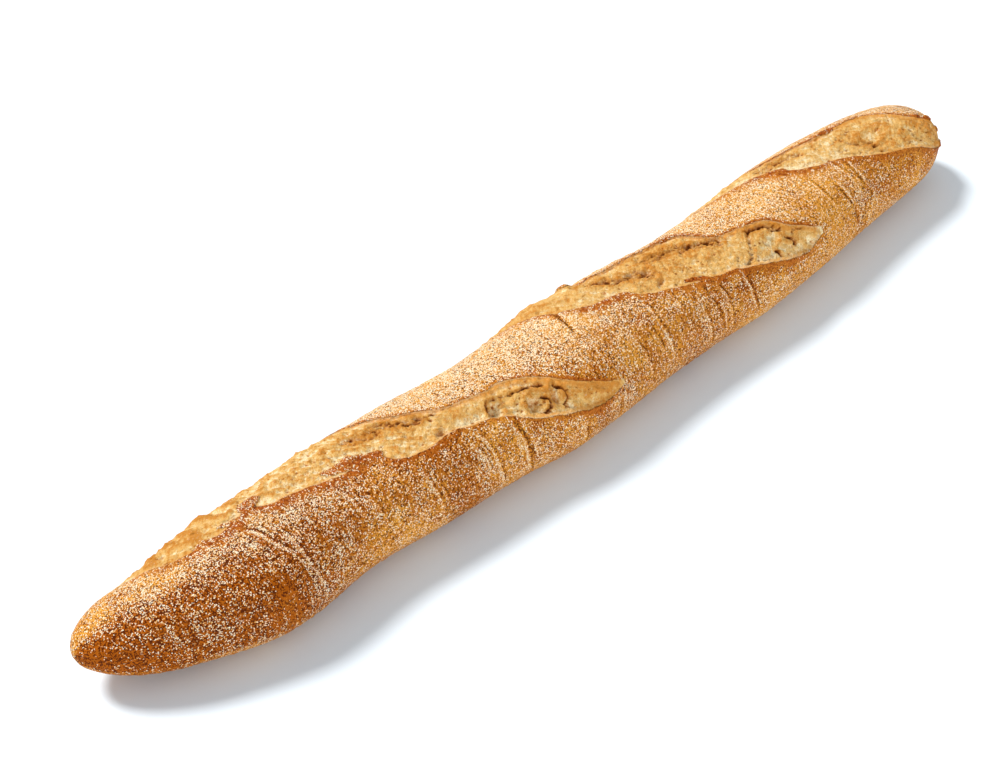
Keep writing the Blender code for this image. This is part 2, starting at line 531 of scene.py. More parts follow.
RIFTS = (
    # The first score: the long cave under its ear, and the slits of its smooth far half.
    Rift(((0.272, 112), (0.281, 107), (0.291, 105), (0.303, 106), (0.313, 98), (0.321, 91),
          (0.329, 88)), 5.0, 2.6, 0.85, 0.55),
    Rift(((0.283, 101), (0.292, 97), (0.298, 99)), 2.2, 1.6, 0.8, 0.4),
    Rift(((0.326, 90), (0.334, 87), (0.341, 85)), 1.3, 1.2, 0.8, 0.3),
    Rift(((0.386, 70), (0.402, 66), (0.414, 62)), 1.1, 1.5, 0.8, 0.4),
    Rift(((0.412, 64), (0.424, 61), (0.436, 56)), 1.6, 1.8, 1.0, 0.35),
    Rift(((0.386, 68), (0.383, 60), (0.388, 51)), 1.4, 1.6, 0.7, 0.1),
    Rift(((0.431, 47), (0.436, 42), (0.434, 35), (0.427, 32)), 1.6, 1.6, 0.8, 0.1),
    Rift(((0.445, 51), (0.450, 43), (0.451, 35), (0.446, 31)), 1.5, 1.6, 0.8, 0.1),
    # The second score: two caves under its ear, a ravine, and a bowl's rim of pits.
    Rift(((0.544, 125), (0.551, 121), (0.558, 113), (0.569, 105), (0.581, 100), (0.592, 97),
          (0.602, 91)), 6.6, 2.8, 0.92, 0.52),
    Rift(((0.612, 110), (0.625, 107), (0.637, 105), (0.647, 99), (0.657, 93), (0.664, 88),
          (0.677, 82)), 7.0, 2.8, 0.92, 0.52),
    Rift(((0.629, 89), (0.634, 76), (0.637, 65)), 1.1, 0.9, 0.45, 0.3),
    Rift(((0.664, 80), (0.667, 72), (0.667, 64)), 1.1, 0.9, 0.45, 0.3),
    Rift(((0.706, 68), (0.702, 60), (0.698, 52), (0.695, 46), (0.687, 41)), 2.6, 2.2, 0.60, 0.55),
    Rift(((0.704, 72), (0.712, 68), (0.722, 65), (0.729, 60), (0.735, 52)), 2.4, 2.2, 0.9, 0.75),
    Rift(((0.721, 38), (0.724, 35), (0.725, 31)), 1.7, 1.8, 0.8, 0.1),
    Rift(((0.740, 42), (0.745, 37), (0.746, 31)), 2.2, 2.2, 0.85, 0.3),
    Rift(((0.749, 44), (0.755, 41), (0.761, 40)), 1.5, 1.4, 0.7, 0.4),
    Rift(((0.774, 30), (0.774, 26), (0.772, 22)), 1.2, 1.1, 0.6, 0.3),
    # The third score: a cave low on its ear, the bowl's back wall, and slits near the tip.
    Rift(((0.780, 119), (0.790, 117), (0.803, 117), (0.815, 114), (0.827, 110)), 4.4, 2.2, 0.8,
         0.6),
    Rift(((0.872, 97), (0.877, 88), (0.881, 80), (0.886, 74)), 2.4, 2.0, 0.65, 0.5),
    Rift(((0.893, 76), (0.900, 70), (0.899, 64)), 2.0, 1.8, 0.8, 0.4),
    Rift(((0.932, 57), (0.934, 50), (0.934, 44)), 1.6, 1.5, 0.55, 0.4),
    Rift(((0.947, 57), (0.948, 50), (0.947, 43)), 1.6, 1.5, 0.55, 0.4),
    Rift(((0.939, 64), (0.940, 60), (0.941, 56)), 1.2, 1.2, 0.7, 0.2),
    Rift(((0.915, 88), (0.917, 76), (0.916, 64)), 1.2, 1.0, 0.4, 0.4),
)


@dataclass(frozen=True)
class Scab:
    """A torn-up flap or flake of crust, baked red-brown, that stands on or beside the crumb.

    Sizes are full lengths in millimetres, and high is how far it stands up.  Turn is as for a
    hollow.  Brown says how darkly it is baked.
    """

    share: float
    degrees: float
    long: float
    wide: float
    high: float
    turn: float = 0.0
    brown: float = 0.9


SCABS = (
    Scab(0.170, 110, 16, 7.0, 1.0, 8, 1.0),
    Scab(0.146, 104, 14, 3.5, 0.4, -14, 0.7),
    Scab(0.248, 84, 24, 6.0, 0.7, -18, 0.9),
    Scab(0.264, 83, 30, 7.5, 0.5, -15, 1.0),
    Scab(0.119, 102, 12, 3.6, 0.4, -12, 0.6),
    Scab(0.546, 82, 20, 5.0, 0.7, -12, 0.9),
    Scab(0.632, 57, 16, 3.6, 0.6, -22, 0.9),
    Scab(0.5400, 139, 6, 8.0, 2.0, 25, 0.8),
    Scab(0.788, 103, 15, 7.0, 0.7, -30, 0.8),
    Scab(0.874, 118, 14, 3.6, 1.0, -4, 1.0),
    Scab(0.652, 124, 8, 3.0, 0.6, -20, 0.9),
    Scab(0.980, 60, 5, 6.0, 1.2, 60, 0.2),
    Scab(0.985, 36, 4, 6.0, 1.0, 60, 0.2),
    Scab(0.984, 8, 4, 6.0, 1.0, 60, 0.2),
    Scab(0.966, 72, 6, 5.0, 0.9, 40, 0.3),
)


@dataclass(frozen=True)
class Lump:
    """A soft mound, or a dent if high is negative.  Sizes are full lengths in millimetres.

    Slope is how far it reaches, beside its drawn edge, before it has mostly faded.
    """

    share: float
    degrees: float
    long: float
    wide: float
    high: float
    slope: float = 0.9


LUMPS = (
    Lump(0.062, 132, 24, 18, -1.5),
    Lump(0.090, 136, 7, 11, 0.8),
    Lump(0.105, 138, 7, 11, 1.4),
    Lump(0.119, 134, 7, 11, 0.9),
    Lump(0.140, 137, 8, 12, 1.6),
    Lump(0.153, 136, 9, 14, -2.2),
    Lump(0.165, 124, 9, 10, 0.7),
    Lump(0.192, 136, 26, 16, -1.6),
    Lump(0.222, 124, 14, 12, 0.7),
    Lump(0.120, 118, 9, 7, 0.8),
    Lump(0.155, 116, 10, 6, 0.7),
    Lump(0.232, 108, 16, 9, 0.7),
    Lump(0.205, 112, 12, 8, 0.8),
    Lump(0.262, 92, 12, 8, 0.7),
    Lump(0.292, 136, 18, 14, -0.6),
    Lump(0.300, 84, 14, 9, 0.6),
    Lump(0.360, 72, 22, 9, 0.6),
    Lump(0.522, 136, 16, 18, -1.9),
    Lump(0.553, 136, 9, 16, -1.6),
    Lump(0.575, 84, 12, 8, 0.5),
    Lump(0.628, 82, 20, 7, 0.6),
    Lump(0.655, 70, 14, 6, 0.6),
    Lump(0.860, 92, 16, 9, 0.7),
    Lump(0.838, 100, 12, 8, 0.6),
    Lump(0.944, 122, 34, 20, -1.3),
)


# Above the base, over which the relief grows from nothing, so that the base stays flat.
FLAT_EDGE = 4 * MM

# The strands of crumb lie at this turn across the loaf, in degrees.
STRAND_TURN = -38.0

# Where the crumb is toasted evenly: share, reach as a share, and how much.
TOASTED = ((0.10, 0.05, 0.30), (0.49, 0.04, 0.45), (0.61, 0.04, 0.20), (0.905, 0.022, 0.40),
           (0.975, 0.02, 0.50))

# Where fine wrinkles gather on the crust: share, reach as a share, and how strongly.
WRINKLED = ((0.065, 0.025, 0.6), (0.155, 0.05, 1.0), (0.36, 0.045, 0.7), (0.51, 0.02, 0.8),
            (0.60, 0.06, 0.9), (0.75, 0.03, 0.5), (0.84, 0.04, 0.7), (0.93, 0.02, 0.4))


@dataclass(frozen=True)
class Crease:
    """A fine wrinkle that runs round the crust.

    It starts at one angle and ends at another, in degrees, and leans by slant millimetres
    along the loaf on the way.  Width and depth are in millimetres.
    """

    share: float
    start: float
    end: float
    slant: float
    width: float
    depth: float
    pale: float = 0.6


CREASES = (
    Crease(0.393, 47, -30, 6, 0.96, 0.75, 0.8),
    Crease(0.398, 44, -5, 5, 0.80, 0.45, -0.4),
    Crease(0.362, 46, -20, 7, 0.80, 0.45, 0.6),
    Crease(0.352, 44, 5, 6, 0.72, 0.30, 0.3),
    Crease(0.299, 50, -10, 6, 0.80, 0.45, 0.5),
    Crease(0.306, 40, 0, 5, 0.72, 0.30, 0.4),
    Crease(0.231, 74, 30, 5, 0.80, 0.38, 0.4),
    Crease(0.246, 68, 20, 5, 0.80, 0.38, 0.3),
    Crease(0.150, 88, 48, 9, 1.04, 0.52, 0.9),
    Crease(0.170, 70, -10, 8, 0.80, 0.45, 0.4),
    Crease(0.140, 66, 5, 9, 0.72, 0.38, 0.4),
    Crease(0.055, 55, 10, 4, 0.80, 0.38, 0.3),
    Crease(0.500, 108, 72, -3, 1.12, 0.90, -0.8),
    Crease(0.478, 60, 20, 4, 0.80, 0.38, 0.3),
    Crease(0.458, 6, -30, 2, 0.96, 0.52, 0.5),
    Crease(0.672, 42, -5, 6, 0.88, 0.68, 0.8),
    Crease(0.568, 66, 0, 4, 0.80, 0.45, 0.5),
    Crease(0.561, 52, 4, 5, 0.72, 0.38, -0.3),
    Crease(0.596, 60, 5, 5, 0.72, 0.38, 0.4),
    Crease(0.632, 50, 0, 5, 0.88, 0.52, -0.4),
    Crease(0.645, 45, -10, 4, 0.80, 0.45, 0.4),
    Crease(0.620, 30, -12, 3, 0.72, 0.38, 0.5),
    Crease(0.800, 72, 30, 5, 0.80, 0.45, 0.5),
    Crease(0.836, 76, 20, 8, 0.80, 0.45, 0.4),
    Crease(0.850, 72, 26, 4, 0.80, 0.52, -0.5),
    Crease(0.822, 52, -6, 10, 0.96, 0.68, -0.5),
    Crease(0.846, 20, -16, -9, 0.96, 0.75, 0.6),
    Crease(0.862, 26, -14, -10, 0.88, 0.68, -0.5),
    Crease(0.538, 56, -10, 5, 0.72, 0.38, 0.4),
    Crease(0.700, 20, -20, 4, 0.80, 0.45, 0.4),
    Crease(0.740, 130, 80, 6, 0.80, 0.38, 0.3),
    Crease(0.340, 175, 120, -5, 0.88, 0.45, 0.4),
    Crease(0.420, 180, 110, 6, 0.88, 0.45, 0.4),
    Crease(0.665, 185, 135, 5, 0.88, 0.52, -0.4),
    Crease(0.250, 215, 172, -6, 0.96, 0.52, 0.5),
    Crease(0.820, 210, 150, 5, 0.88, 0.45, 0.4),
)


@dataclass
class LoafSkin:
    """The whole visible loaf as one fine mesh, with the masks that its finish reads."""

    form: LoafForm
    rings: int = 650
    near_cap_rings: int = 70
    far_cap_rings: int = 56
    fine_step: float = 1.42        # degrees between columns where the scores are
    coarse_step: float = 6.0       # degrees between columns elsewhere
    coarsening: float = 0.12       # of the columns' step, for each degree past the fine ones
    fine_from: float = -14.0       # degrees
    fine_to: float = 162.0
    snap_spread: float = 5.0       # fine steps between the lips, to have columns along them
    snap_reach: int = 2            # columns on each side that follow one that is moved to a lip
    lip_wander: Knots = ((1.3, 9 * MM), (0.9, 3.4 * MM))    # degrees, and the size of its swings
    lip_settle: float = 0.02       # share of the length, at each end of a lip, without it
    swell: Grain = field(default_factory=lambda: Grain(3))
    tear: Grain = field(default_factory=lambda: Grain(11))
    bake: Grain = field(default_factory=lambda: Grain(23))

    def ring_shares(self) -> Array:
        """Space the rings: quarter turns over the caps, even steps over the body.

        Returns:
            The rings' shares of the length, without the two tips.
        """
        form = self.form
        near = np.arange(self.near_cap_rings) / self.near_cap_rings
        far = np.arange(self.far_cap_rings + 1) / self.far_cap_rings
        body = self.rings - self.near_cap_rings - self.far_cap_rings
        end = form.length - form.far_cap
        steps = np.arange(body) / body
        distance = np.concatenate([
            form.near_cap * (1.0 - np.cos(0.5 * math.pi * near)),
            form.near_cap + (end - form.near_cap) * steps,
            form.length - form.far_cap * (1.0 - np.sin(0.5 * math.pi * far)),
        ])
        return distance[1:-1] / form.length

    def column_angles(self) -> Array:
        """Space the columns round the section, crowded where the scores are.

        Returns:
            The columns' angles, in degrees.
        """
        angles = [self.fine_from]
        while angles[-1] < self.fine_from + 360.0:
            gap = max(self.fine_from - angles[-1] + 360.0, 0.0)
            beyond = min(max(angles[-1] - self.fine_to, 0.0), gap)
            step = self.fine_step + min(self.coarsening * beyond, self.coarse_step - self.fine_step)
            angles.append(angles[-1] + step)
        turn = np.array(angles[:-1])
        stretch = 360.0 / (angles[-1] - self.fine_from)
        return self.fine_from + (turn - self.fine_from) * stretch

    def lip_angle(self, score: Score, lip: Knots, shares: Array) -> Array:
        """Follow one lip of a score, with the small wander of torn dough.

        Args:
            score: The score that the lip belongs to.
            lip: The lip's knots.
            shares: The rings' shares of the length.

        Returns:
            The lip's angle at each ring, in degrees.
        """
        apart = 0.0 if lip is score.front_lip else 0.4
        line = np.stack([shares * self.form.length, np.full_like(shares, apart), shares * 0.0], -1)
        wander = sum(swing * self.tear.swell(line, size) for swing, size in self.lip_wander)
        settle = ease(shares - score.start, 0.0, self.lip_settle)
        settle = settle * ease(score.end - shares, 0.0, self.lip_settle)
        return smooth_curve(lip, shares) + wander * settle

    def snapped_angles(self, shares: Array, columns: Array) -> Array:
        """Nudge the columns so that one of them runs exactly along each lip.

        Args:
            shares: The rings' shares of the length.
            columns: The plain column angles.

        Returns:
            An angle for every ring and column.
        """
        grid = np.tile(columns, (len(shares), 1))
        for score in SCORES:
            front = self.lip_angle(score, score.front_lip, shares)
            back = self.lip_angle(score, score.back_lip, shares)
            live = (shares > score.start) & (shares < score.end)
            live &= back - front > self.snap_spread * self.fine_step
            for lip in (front, back):
                for ring in np.flatnonzero(live):
                    row = grid[ring]
                    nearest = int(np.argmin(np.abs(row - lip[ring])))
                    shift = lip[ring] - row[nearest]
                    for step in range(-self.snap_reach, self.snap_reach + 1):
                        row[nearest + step] += shift * (1.0 - abs(step) / (self.snap_reach + 1))
        return grid


@dataclass
class Relief:
    """How far the plain skin moves, and the masks that say what it is made of there."""

    lift: Array         # out of the skin, in metres
    slide: Array        # round the section towards higher angles, in metres
    crumb: Array        # 1 on crumb and 0 on crust
    brown: Array        # how darkly the oven has browned it, by the lips and on the scabs
    pit: Array          # painted shade in pits and caves, 0 to 1, and the toast round them
    pale: Array         # above 0 where a crease is floured, and below 0 where it is bare and darker, partly painted shade
    torn: Array         # 1 where the crumb is fully torn, and 0 at the lips and beyond
    ridge: Array        # how far the crumb stands proud
    streak: Array       # how far the flour lies in streaks

    @classmethod
    def flat(cls, shape: tuple[int, int]) -> Relief:
        """Make the relief of an untouched skin."""
        return cls(*(np.zeros(shape) for _ in fields(cls)))


@dataclass(frozen=True)
class LipForm:
    """What the lips of all scores have in common.  Reaches are metres."""

    open_spread: float = 7 * MM             # between the lips, where a score is fully open
    crumb_spread: Span = (1 * MM, 3 * MM)   # between the lips, where crumb starts to show
    closing: float = 0.008                  # share of the length over which the far end closes
    edge: float = 0.02 * MM                 # inside a lip, where the bed starts
    crumb_edge: float = 1.2 * MM            # to each side of a lip, where crust turns to crumb
    torn_edge: float = 2 * MM               # inside a lip, where the crumb is fully torn
    sink: Span = (-2 * MM, 9 * MM)          # from the back lip, down a sunken bed
    step: float = 1.6 * MM                  # inside the front lip, down its step
    step_end: Span = (0.6, 0.2)             # shares of the way across, up from its step
    ledge: float = 3.6 * MM                 # outside the front lip, down from its rim
    ledge_inside: float = 1.3 * MM
    ear: float = 6 * MM                     # outside the back lip, down from its ear
    lean: float = 4 * MM                    # outside the back lip, to where it doesn't lean
    undercut: float = 2.4 * MM              # inside the back lip, to where crumb isn't drawn back
    undercut_share: float = 0.4             # of the lean
    hollow: float = 0.8 * MM                # of the hollow below the back lip, if it were flat
    hollow_share: float = 0.5               # of its depth that widens it
    hollow_dark: Span = (0.8 * MM, 3 * MM)  # depths over which its painted shade deepens
    hollow_shade: float = 0.45


@dataclass(frozen=True)
class LipBake:
    """How the oven browns the lips of all scores.  Reaches are metres."""

    band: float = 1.2 * MM              # over the crust by the front lip, where it is least baked
    band_gain: float = 3.6 * MM         # more of it where it is most baked
    band_ragged: Swells = Swells(9 * MM, swing=2.8 * MM)
    band_least: float = 1.4 * MM
    back_edge: float = 1.2 * MM         # over the crust by the back lip
    back_edge_gain: float = 2.2         # more of it for each metre of overhang
    back_gain: float = 1.4              # of the back lip over the front lip
    crust_gain: float = 1.25
    inner: float = 0.7                  # of the crumb by the front lip
    inner_reach: float = 1.3 * MM
    face: float = 0.9                   # of the face below the back lip
    face_reach: float = 0.6 * MM
    face_share: float = 0.3             # of the hollow's distance, which widens the face


@dataclass(frozen=True)
class HollowForm:
    """What all hollows have in common.  A reach of 1 is a hollow's drawn edge."""

    ragged: Swells = Swells(3.2 * MM, 3, 0.7, swing=0.48)
    wall: Span = (0.25, 1.05)           # reaches, from its floor up to the crumb
    shade: Span = (0.35, 1.15)          # reaches over which its shade fades
    shade_most: float = 1.5
    brim: float = 1.15                  # the reach where its brim stands
    brim_width: float = 0.22


@dataclass(frozen=True)
class RiftForm:
    """What all rifts have in common.  A reach of 1 is half of a rift's drawn width."""

    swing: Swells = Swells(4 * MM, 3, 0.75, swing=1.2, shift=1.1)
    widths: Span = (0.25, 1.8)          # the least and the greatest, beside the drawn width
    wall: Span = (0.45, 1.15)           # reaches, from its floor up to the crumb
    strand_size: Span = (4 * MM, 1.5 * MM)
    strands: Swells = Swells(1.0, 2, 0.6, shift=3.7)
    strand_edge: Span = (-0.1, 0.25)
    bridged: float = 1.5                # how much of it is bridged, for each unit of gaps
    rim: float = 0.35 * MM
    rim_reach: float = 1.5
    rim_width: float = 0.4
    spots: Swells = Swells(3.4 * MM, 2, 0.7, shift=5.3)
    spot_edge: Span = (-0.10, 0.30)
    spot_least: float = 0.40            # how dark it is between its darkest spots
    spotted: float = 2.0                # how much of it is spotted, for each unit of gaps
    # How dark the shade painted in it is, and in the toasted ring round it.
    dark: float = 1.4
    halo: float = 0.36
    halo_edge: Span = (1.0, 3.0)        # reaches over which the shade round it fades


@dataclass(frozen=True)
class ScabForm:
    """What all scabs have in common.  A reach of 1 is a scab's drawn edge."""

    ragged: Swells = Swells(4.5 * MM, 3, 0.6, swing=0.35, shift=0.6)
    edge: Span = (0.65, 1.1)


@dataclass(frozen=True)
class CreaseForm:
    """What all creases have in common.  Widths are counted in the crease's own width."""

    wander: Swells = Swells(11 * MM, swing=1.5 * MM)
    breaks: Swells = Swells(8 * MM, 2, shift=0.4)
    break_edge: Span = (-0.5, 0.1)
    faintest: float = 0.35              # how much of it is left where it breaks
    start: Span = (-0.05, 0.1)          # shares of its run over which it starts
    end: Span = (1.05, 0.7)             # and over which it ends
    shoulder: float = 1.8               # widths from its middle
    shoulder_height: float = 0.35       # of its depth
    floured: float = 1.3
    bare_shade: float = 1.7                   # widths to the strip beside it that has less flour and painted shade
    bare_shade_width: float = 0.8
    bare_shade_gain: float = 0.8


@dataclass(frozen=True)
class CrumbForm:
    """The roughness of torn crumb.  Swings are metres."""

    bulge: Swells = Swells(9 * MM, 4, 0.62, swing=1.5 * MM)
    nub: Swells = Swells(3.2 * MM, 2, 0.7, swing=0.75 * MM, shift=0.8)
    flake: Swells = Swells(4.5 * MM, 3, 0.6, swing=2.0, shift=0.3)
    flake_height: float = 0.6 * MM
    flake_edge: Span = (150.0, 120.0)   # degrees
    strand_size: Span = (10 * MM, 1.9 * MM)
    strand_height: float = 0.7 * MM
    pore_size: float = 3.6 * MM
    pore_edge: Span = (0.30, 0.12)
    pore_depth: float = 1.0 * MM
    # How dark the shade painted in the pores is.
    pore_shade: float = 0.70
    rough: float = 1.15                 # of the first score's near half
    smoother: float = 0.45              # less of it beyond
    smooth_from: Span = (0.22, 0.36)    # shares of the length
    proud: float = 0.55 * MM            # how far a fully toasted ridge stands, near the near tip
    proud_more: float = 0.45 * MM       # and how much farther beyond
    proud_from: Span = (0.30, 0.38)
    proud_passes: int = 3               # of smoothing, for the level it stands above
    proud_reach: int = 3                # grid steps
    toasted_torn: Span = (0.0, 0.5)     # how torn crumb is that toasts


@dataclass(frozen=True)
class CrustForm:
    """The swells, blisters and fine wrinkles of the crust.  Heights and swings are metres."""

    broad: Swells = Swells(45 * MM, 2, swing=0.6 * MM)
    blister: Swells = Swells(6 * MM, 2, shift=0.7)
    blister_edge: Span = (0.15, 0.7)
    blister_height: float = 0.22 * MM
    pimple: Swells = Swells(2.6 * MM, 2, swing=0.16 * MM, shift=0.2)
    wrinkle_size: Span = (2.4 * MM, 16 * MM)
    wrinkle_slant: float = 0.22         # along the loaf, for each metre round it
    wrinkle_height: float = 0.42 * MM
    clusters: Swells = Swells(26 * MM, 2, shift=0.9)
    cluster_edge: Span = (-0.5, 0.1)


@dataclass(frozen=True)
class OpenScore:
    """Where one score lies on the grid.  Distances are metres, and positive inside its lips."""

    score: Score
    shares: Array
    from_front: Array
    from_back: Array
    spread: Array
    fade: Array
    live: Array
    inside: Array

    @property
    def outside(self) -> Array:
        """Tell which points are beside the score, and not in it."""
        return self.live & ~self.inside

    @property
    def near_back(self) -> Array:
        """Tell which points are nearer to the back lip than to the front lip."""
        return self.from_back < self.from_front

    def along(self, knots: Knots) -> Array:
        """Read one of the score's own knots at every ring, as a column."""
        return smooth_curve(knots, self.shares)[:, None]

    def laid(self, inside: Array, outside: Array) -> Array:
        """Join what happens inside the lips and what happens beside them."""
        return self.fade * np.where(self.inside, inside, np.where(self.outside, outside, 0.0))


@dataclass
class Sculptor:
    """Works the scores, hollows, creases and blisters into the skin's relief."""

    skin: LoafSkin
    shares: Array
    share: Array
    degrees: Array
    points: Array
    arc: Array
    relief: Relief
    lips: LipForm = LipForm()
    oven: LipBake = LipBake()
    hollows: HollowForm = HollowForm()
    rifts: RiftForm = RiftForm()
    scabs: ScabForm = ScabForm()
    creases: CreaseForm = CreaseForm()
    crumb: CrumbForm = CrumbForm()
    crust: CrustForm = CrustForm()

    def work(self) -> None:
        """Do the whole relief, in the order in which later features cut earlier ones."""
        for score in SCORES:
            self.open_score(score)
        self.tear_crumb()
        for lump in LUMPS:
            self.raise_lump(lump)
        for hollow in HOLLOWS:
            self.sink_hollow(hollow)
        for rift in RIFTS:
            self.open_rift(rift)
        for scab in SCABS:
            self.lift_scab(scab)
        self.toast_ridges()
        for crease in CREASES:
            self.press_crease(crease)
        self.blister_crust()

    def from_lip(self, lip: Array) -> Array:
        """Measure every point from a lip, square to it.

        Args:
            lip: The lip's angle at each ring, in degrees.

        Returns:
            The distances in metres, positive towards higher angles.
        """
        run = np.gradient(self.shares * self.skin.form.length)
        fall = np.gradient(lip)[:, None] * self.arc / run[:, None]
        return (self.degrees - lip[:, None]) * self.arc / np.sqrt(1.0 + fall**2)

    def find_score(self, score: Score) -> OpenScore:
        """Find where a score lies.

        Args:
            score: The score.

        Returns:
            Its place on the grid.
        """
        front = self.skin.lip_angle(score, score.front_lip, self.shares)
        back = self.skin.lip_angle(score, score.back_lip, self.shares)
        from_front = self.from_lip(front)
        from_back = -self.from_lip(back)
        spread = (back - front)[:, None] * self.arc
        live = (self.share > score.start) & (self.share < score.end)
        fade = ease(spread, 0.0, self.lips.open_spread)
        fade = fade * ease(score.end - self.share, 0.0, self.lips.closing)
        inside = live & (np.minimum(from_front, from_back) > self.lips.edge)
        return OpenScore(score, self.shares, from_front, from_back, spread,
                         np.where(live, fade, 0.0), live, inside)

    def open_score(self, score: Score) -> None:
        """Open one score: its rim and ear outside the lips, and its torn bed between them.

        Args:
            score: The score to open.
        """
        place = self.find_score(score)
        form = self.lips
        relief = self.relief
        depth = place.along(score.tuck) * MM
        hollow = bell(place.from_back - place.along(score.shelf) * MM,
                      form.hollow + form.hollow_share * depth)
        rim = place.along(score.rim) * MM
        ledge = rim * bell(np.minimum(place.from_front, 0.0), form.ledge)
        ear = place.along(score.ear) * MM * bell(np.minimum(place.from_back, 0.0), form.ear)
        bed = self.arch_bed(place) - depth * hollow + rim * bell(place.from_front,
                                                                 form.ledge_inside)
        relief.lift += place.laid(bed, np.where(place.near_back, ear, ledge))
        hang = place.along(score.overhang) * MM
        lean = np.where(place.near_back, -hang * bell(place.from_back, form.lean), 0.0)
        undercut = form.undercut_share * hang * bell(place.from_back, form.undercut)
        relief.slide += place.laid(undercut, lean)
        within = np.minimum(place.from_front, place.from_back)
        crumb = np.where(place.live, ease(within, -form.crumb_edge, form.crumb_edge), 0.0)
        relief.crumb = np.maximum(relief.crumb, crumb * ease(place.spread, *form.crumb_spread))
        relief.torn = np.maximum(relief.torn, place.laid(ease(within, 0.0, form.torn_edge), 0.0))
        relief.brown = np.maximum(relief.brown, self.lip_brown(place, hang))
        # Painted shade in the hollow below the back lip.
        shade = place.laid(hollow * ease(depth, *form.hollow_dark), 0.0)
        relief.pit = np.maximum(relief.pit, form.hollow_shade * shade)

    def arch_bed(self, place: OpenScore) -> Array:
        """Arch or sink a score's bed, with the step down behind its front lip.

        Args:
            place: The score's place on the grid.

        Returns:
            How high the bed stands above the plain skin, in metres.
        """
        across = np.clip(place.from_front / np.maximum(place.spread, TINY), 0.0, 1.0)
        arch = np.clip(4.0 * across * (1.0 - across), 0.0, 1.0)
        sunk = np.sqrt(arch) * ease(place.from_back, *self.lips.sink)
        level = place.along(place.score.bed) * MM
        step = place.along(place.score.step) * MM * ease(place.from_front, 0.0, self.lips.step)
        return level * np.where(level > 0.0, arch, sunk) - step * ease(across, *self.lips.step_end)

    def lip_brown(self, place: OpenScore, hang: Array) -> Array:
        """Say how darkly the oven browns the crust and crumb along a score's lips.

        Args:
            place: The score's place on the grid.
            hang: How far the back lip leans out at each ring, in metres.

        Returns:
            The browning, 0 to 1.
        """
        oven = self.oven
        brown = place.along(place.score.brown)
        ragged = oven.band_ragged.read(self.skin.bake, self.points)
        band = oven.band + oven.band_gain * brown + ragged
        front = bell(place.from_front, np.maximum(band, oven.band_least))
        back = bell(place.from_back, oven.back_edge + oven.back_edge_gain * hang)
        crust = np.minimum(oven.crust_gain * np.where(place.near_back, back, front), 1.0)
        crust *= np.where(place.near_back, np.minimum(oven.back_gain * brown, 1.0), brown)
        crumb = oven.inner * bell(place.from_front, oven.inner_reach) * ~place.near_back
        face = oven.face_share * place.along(place.score.shelf) * MM + oven.face_reach
        crumb += oven.face * bell(np.maximum(place.from_back - face, 0.0), face)
        return np.clip(place.laid(crumb, crust), 0.0, 1.0)

    def local_place(self, share: float, degrees: float, turn: float) -> tuple[Array, Array]:
        """Measure every point from a spot on the skin.

        Args:
            share: The spot's share of the length.
            degrees: The spot's angle round the section.
            turn: How far the measuring axes are turned, in degrees.

        Returns:
            The distances along the turned long axis and across it, in metres.
        """
        along = (self.share - share) * self.skin.form.length
        around = (self.degrees - degrees) * self.arc
        cos = math.cos(math.radians(turn))
        sin = math.sin(math.radians(turn))
        return along * cos + around * sin, around * cos - along * sin

    def darken(self, shade: Array) -> None:
        """Deepen the painted shade of pits and caves to at least this much."""
        self.relief.pit = np.maximum(self.relief.pit, shade)

    def sink_hollow(self, hollow: Hollow) -> None:
        """Sink one ragged-edged hollow into the crumb.

        Args:
            hollow: The hollow to sink.
        """
        form = self.hollows
        along, across = self.local_place(hollow.share, hollow.degrees, hollow.turn)
        u = 2.0 * along / (hollow.long * MM)
        v = 2.0 * across / (hollow.wide * MM)
        reach = np.hypot(u, v) + form.ragged.read(self.skin.tear, self.points)
        lean = 1.0 + hollow.lean * np.clip(v, -1.0, 1.0)
        bowl = 1.0 - ease(reach, *form.wall)
        brim = bell(reach - form.brim, form.brim_width)
        torn = self.relief.torn
        self.relief.lift += MM * torn * (hollow.brim * brim - hollow.deep * bowl * lean)
        # Painted shade in the hollow's bottom, tipped by its lean.
        shade = hollow.shade * (1.0 - ease(reach, *form.shade))
        shade = np.clip(shade * np.clip(lean, 0.0, form.shade_most), 0.0, 1.0)
        self.darken(shade * self.relief.crumb)

    def from_path(self, path: Knots) -> Array:
        """Measure every point from the nearest stretch of a path, in metres.

        Args:
            path: The path's knots, as (share, degrees).

        Returns:
            The distances, in metres.
        """
        length = self.skin.form.length
        nearest = np.full(self.share.shape, np.inf)
        for start, end in zip(path, path[1:]):
            along = (self.share - start[0]) * length
            around = (self.degrees - start[1]) * self.arc
            run = (end[0] - start[0]) * length
            climb = (end[1] - start[1]) * self.arc
            part = np.clip((along * run + around * climb) / (run**2 + climb**2), 0.0, 1.0)
            nearest = np.minimum(nearest, np.hypot(along - part * run, around - part * climb))
        return nearest

    def open_rift(self, rift: Rift) -> None:
        """Tear one ragged cave or slit along its path.

        Args:
            rift: The rift to open.
        """
        form = self.rifts
        tear = self.skin.tear
        torn = self.relief.torn
        width = np.clip(1.0 + form.swing.read(tear, self.points), *form.widths)
        reach = self.from_path(rift.path) / (0.5 * rift.width * MM * width)
        strand = form.strands.read(tear, self.strands(*form.strand_size))
        bridge = min(form.bridged * rift.gaps, 1.0) * ease(strand, *form.strand_edge)
        opening = (1.0 - ease(reach, *form.wall)) * (1.0 - bridge) * torn
        rim = bell(reach - form.rim_reach, form.rim_width) * torn
        self.relief.lift += form.rim * rim - rift.depth * MM * opening
        # Painted shade in the rift, broken into spots, and a fainter ring of it, toasted, round the
        # rift.
        spots = ease(form.spots.read(tear, self.points), *form.spot_edge)
        spots = form.spot_least + (1.0 - form.spot_least) * spots
        spots = 1.0 - (1.0 - spots) * min(form.spotted * rift.gaps, 1.0)
        self.darken(np.clip(form.dark * rift.shade * opening * spots, 0.0, 1.0))
        self.darken(form.halo * rift.shade * (1.0 - ease(reach, *form.halo_edge)) * torn)

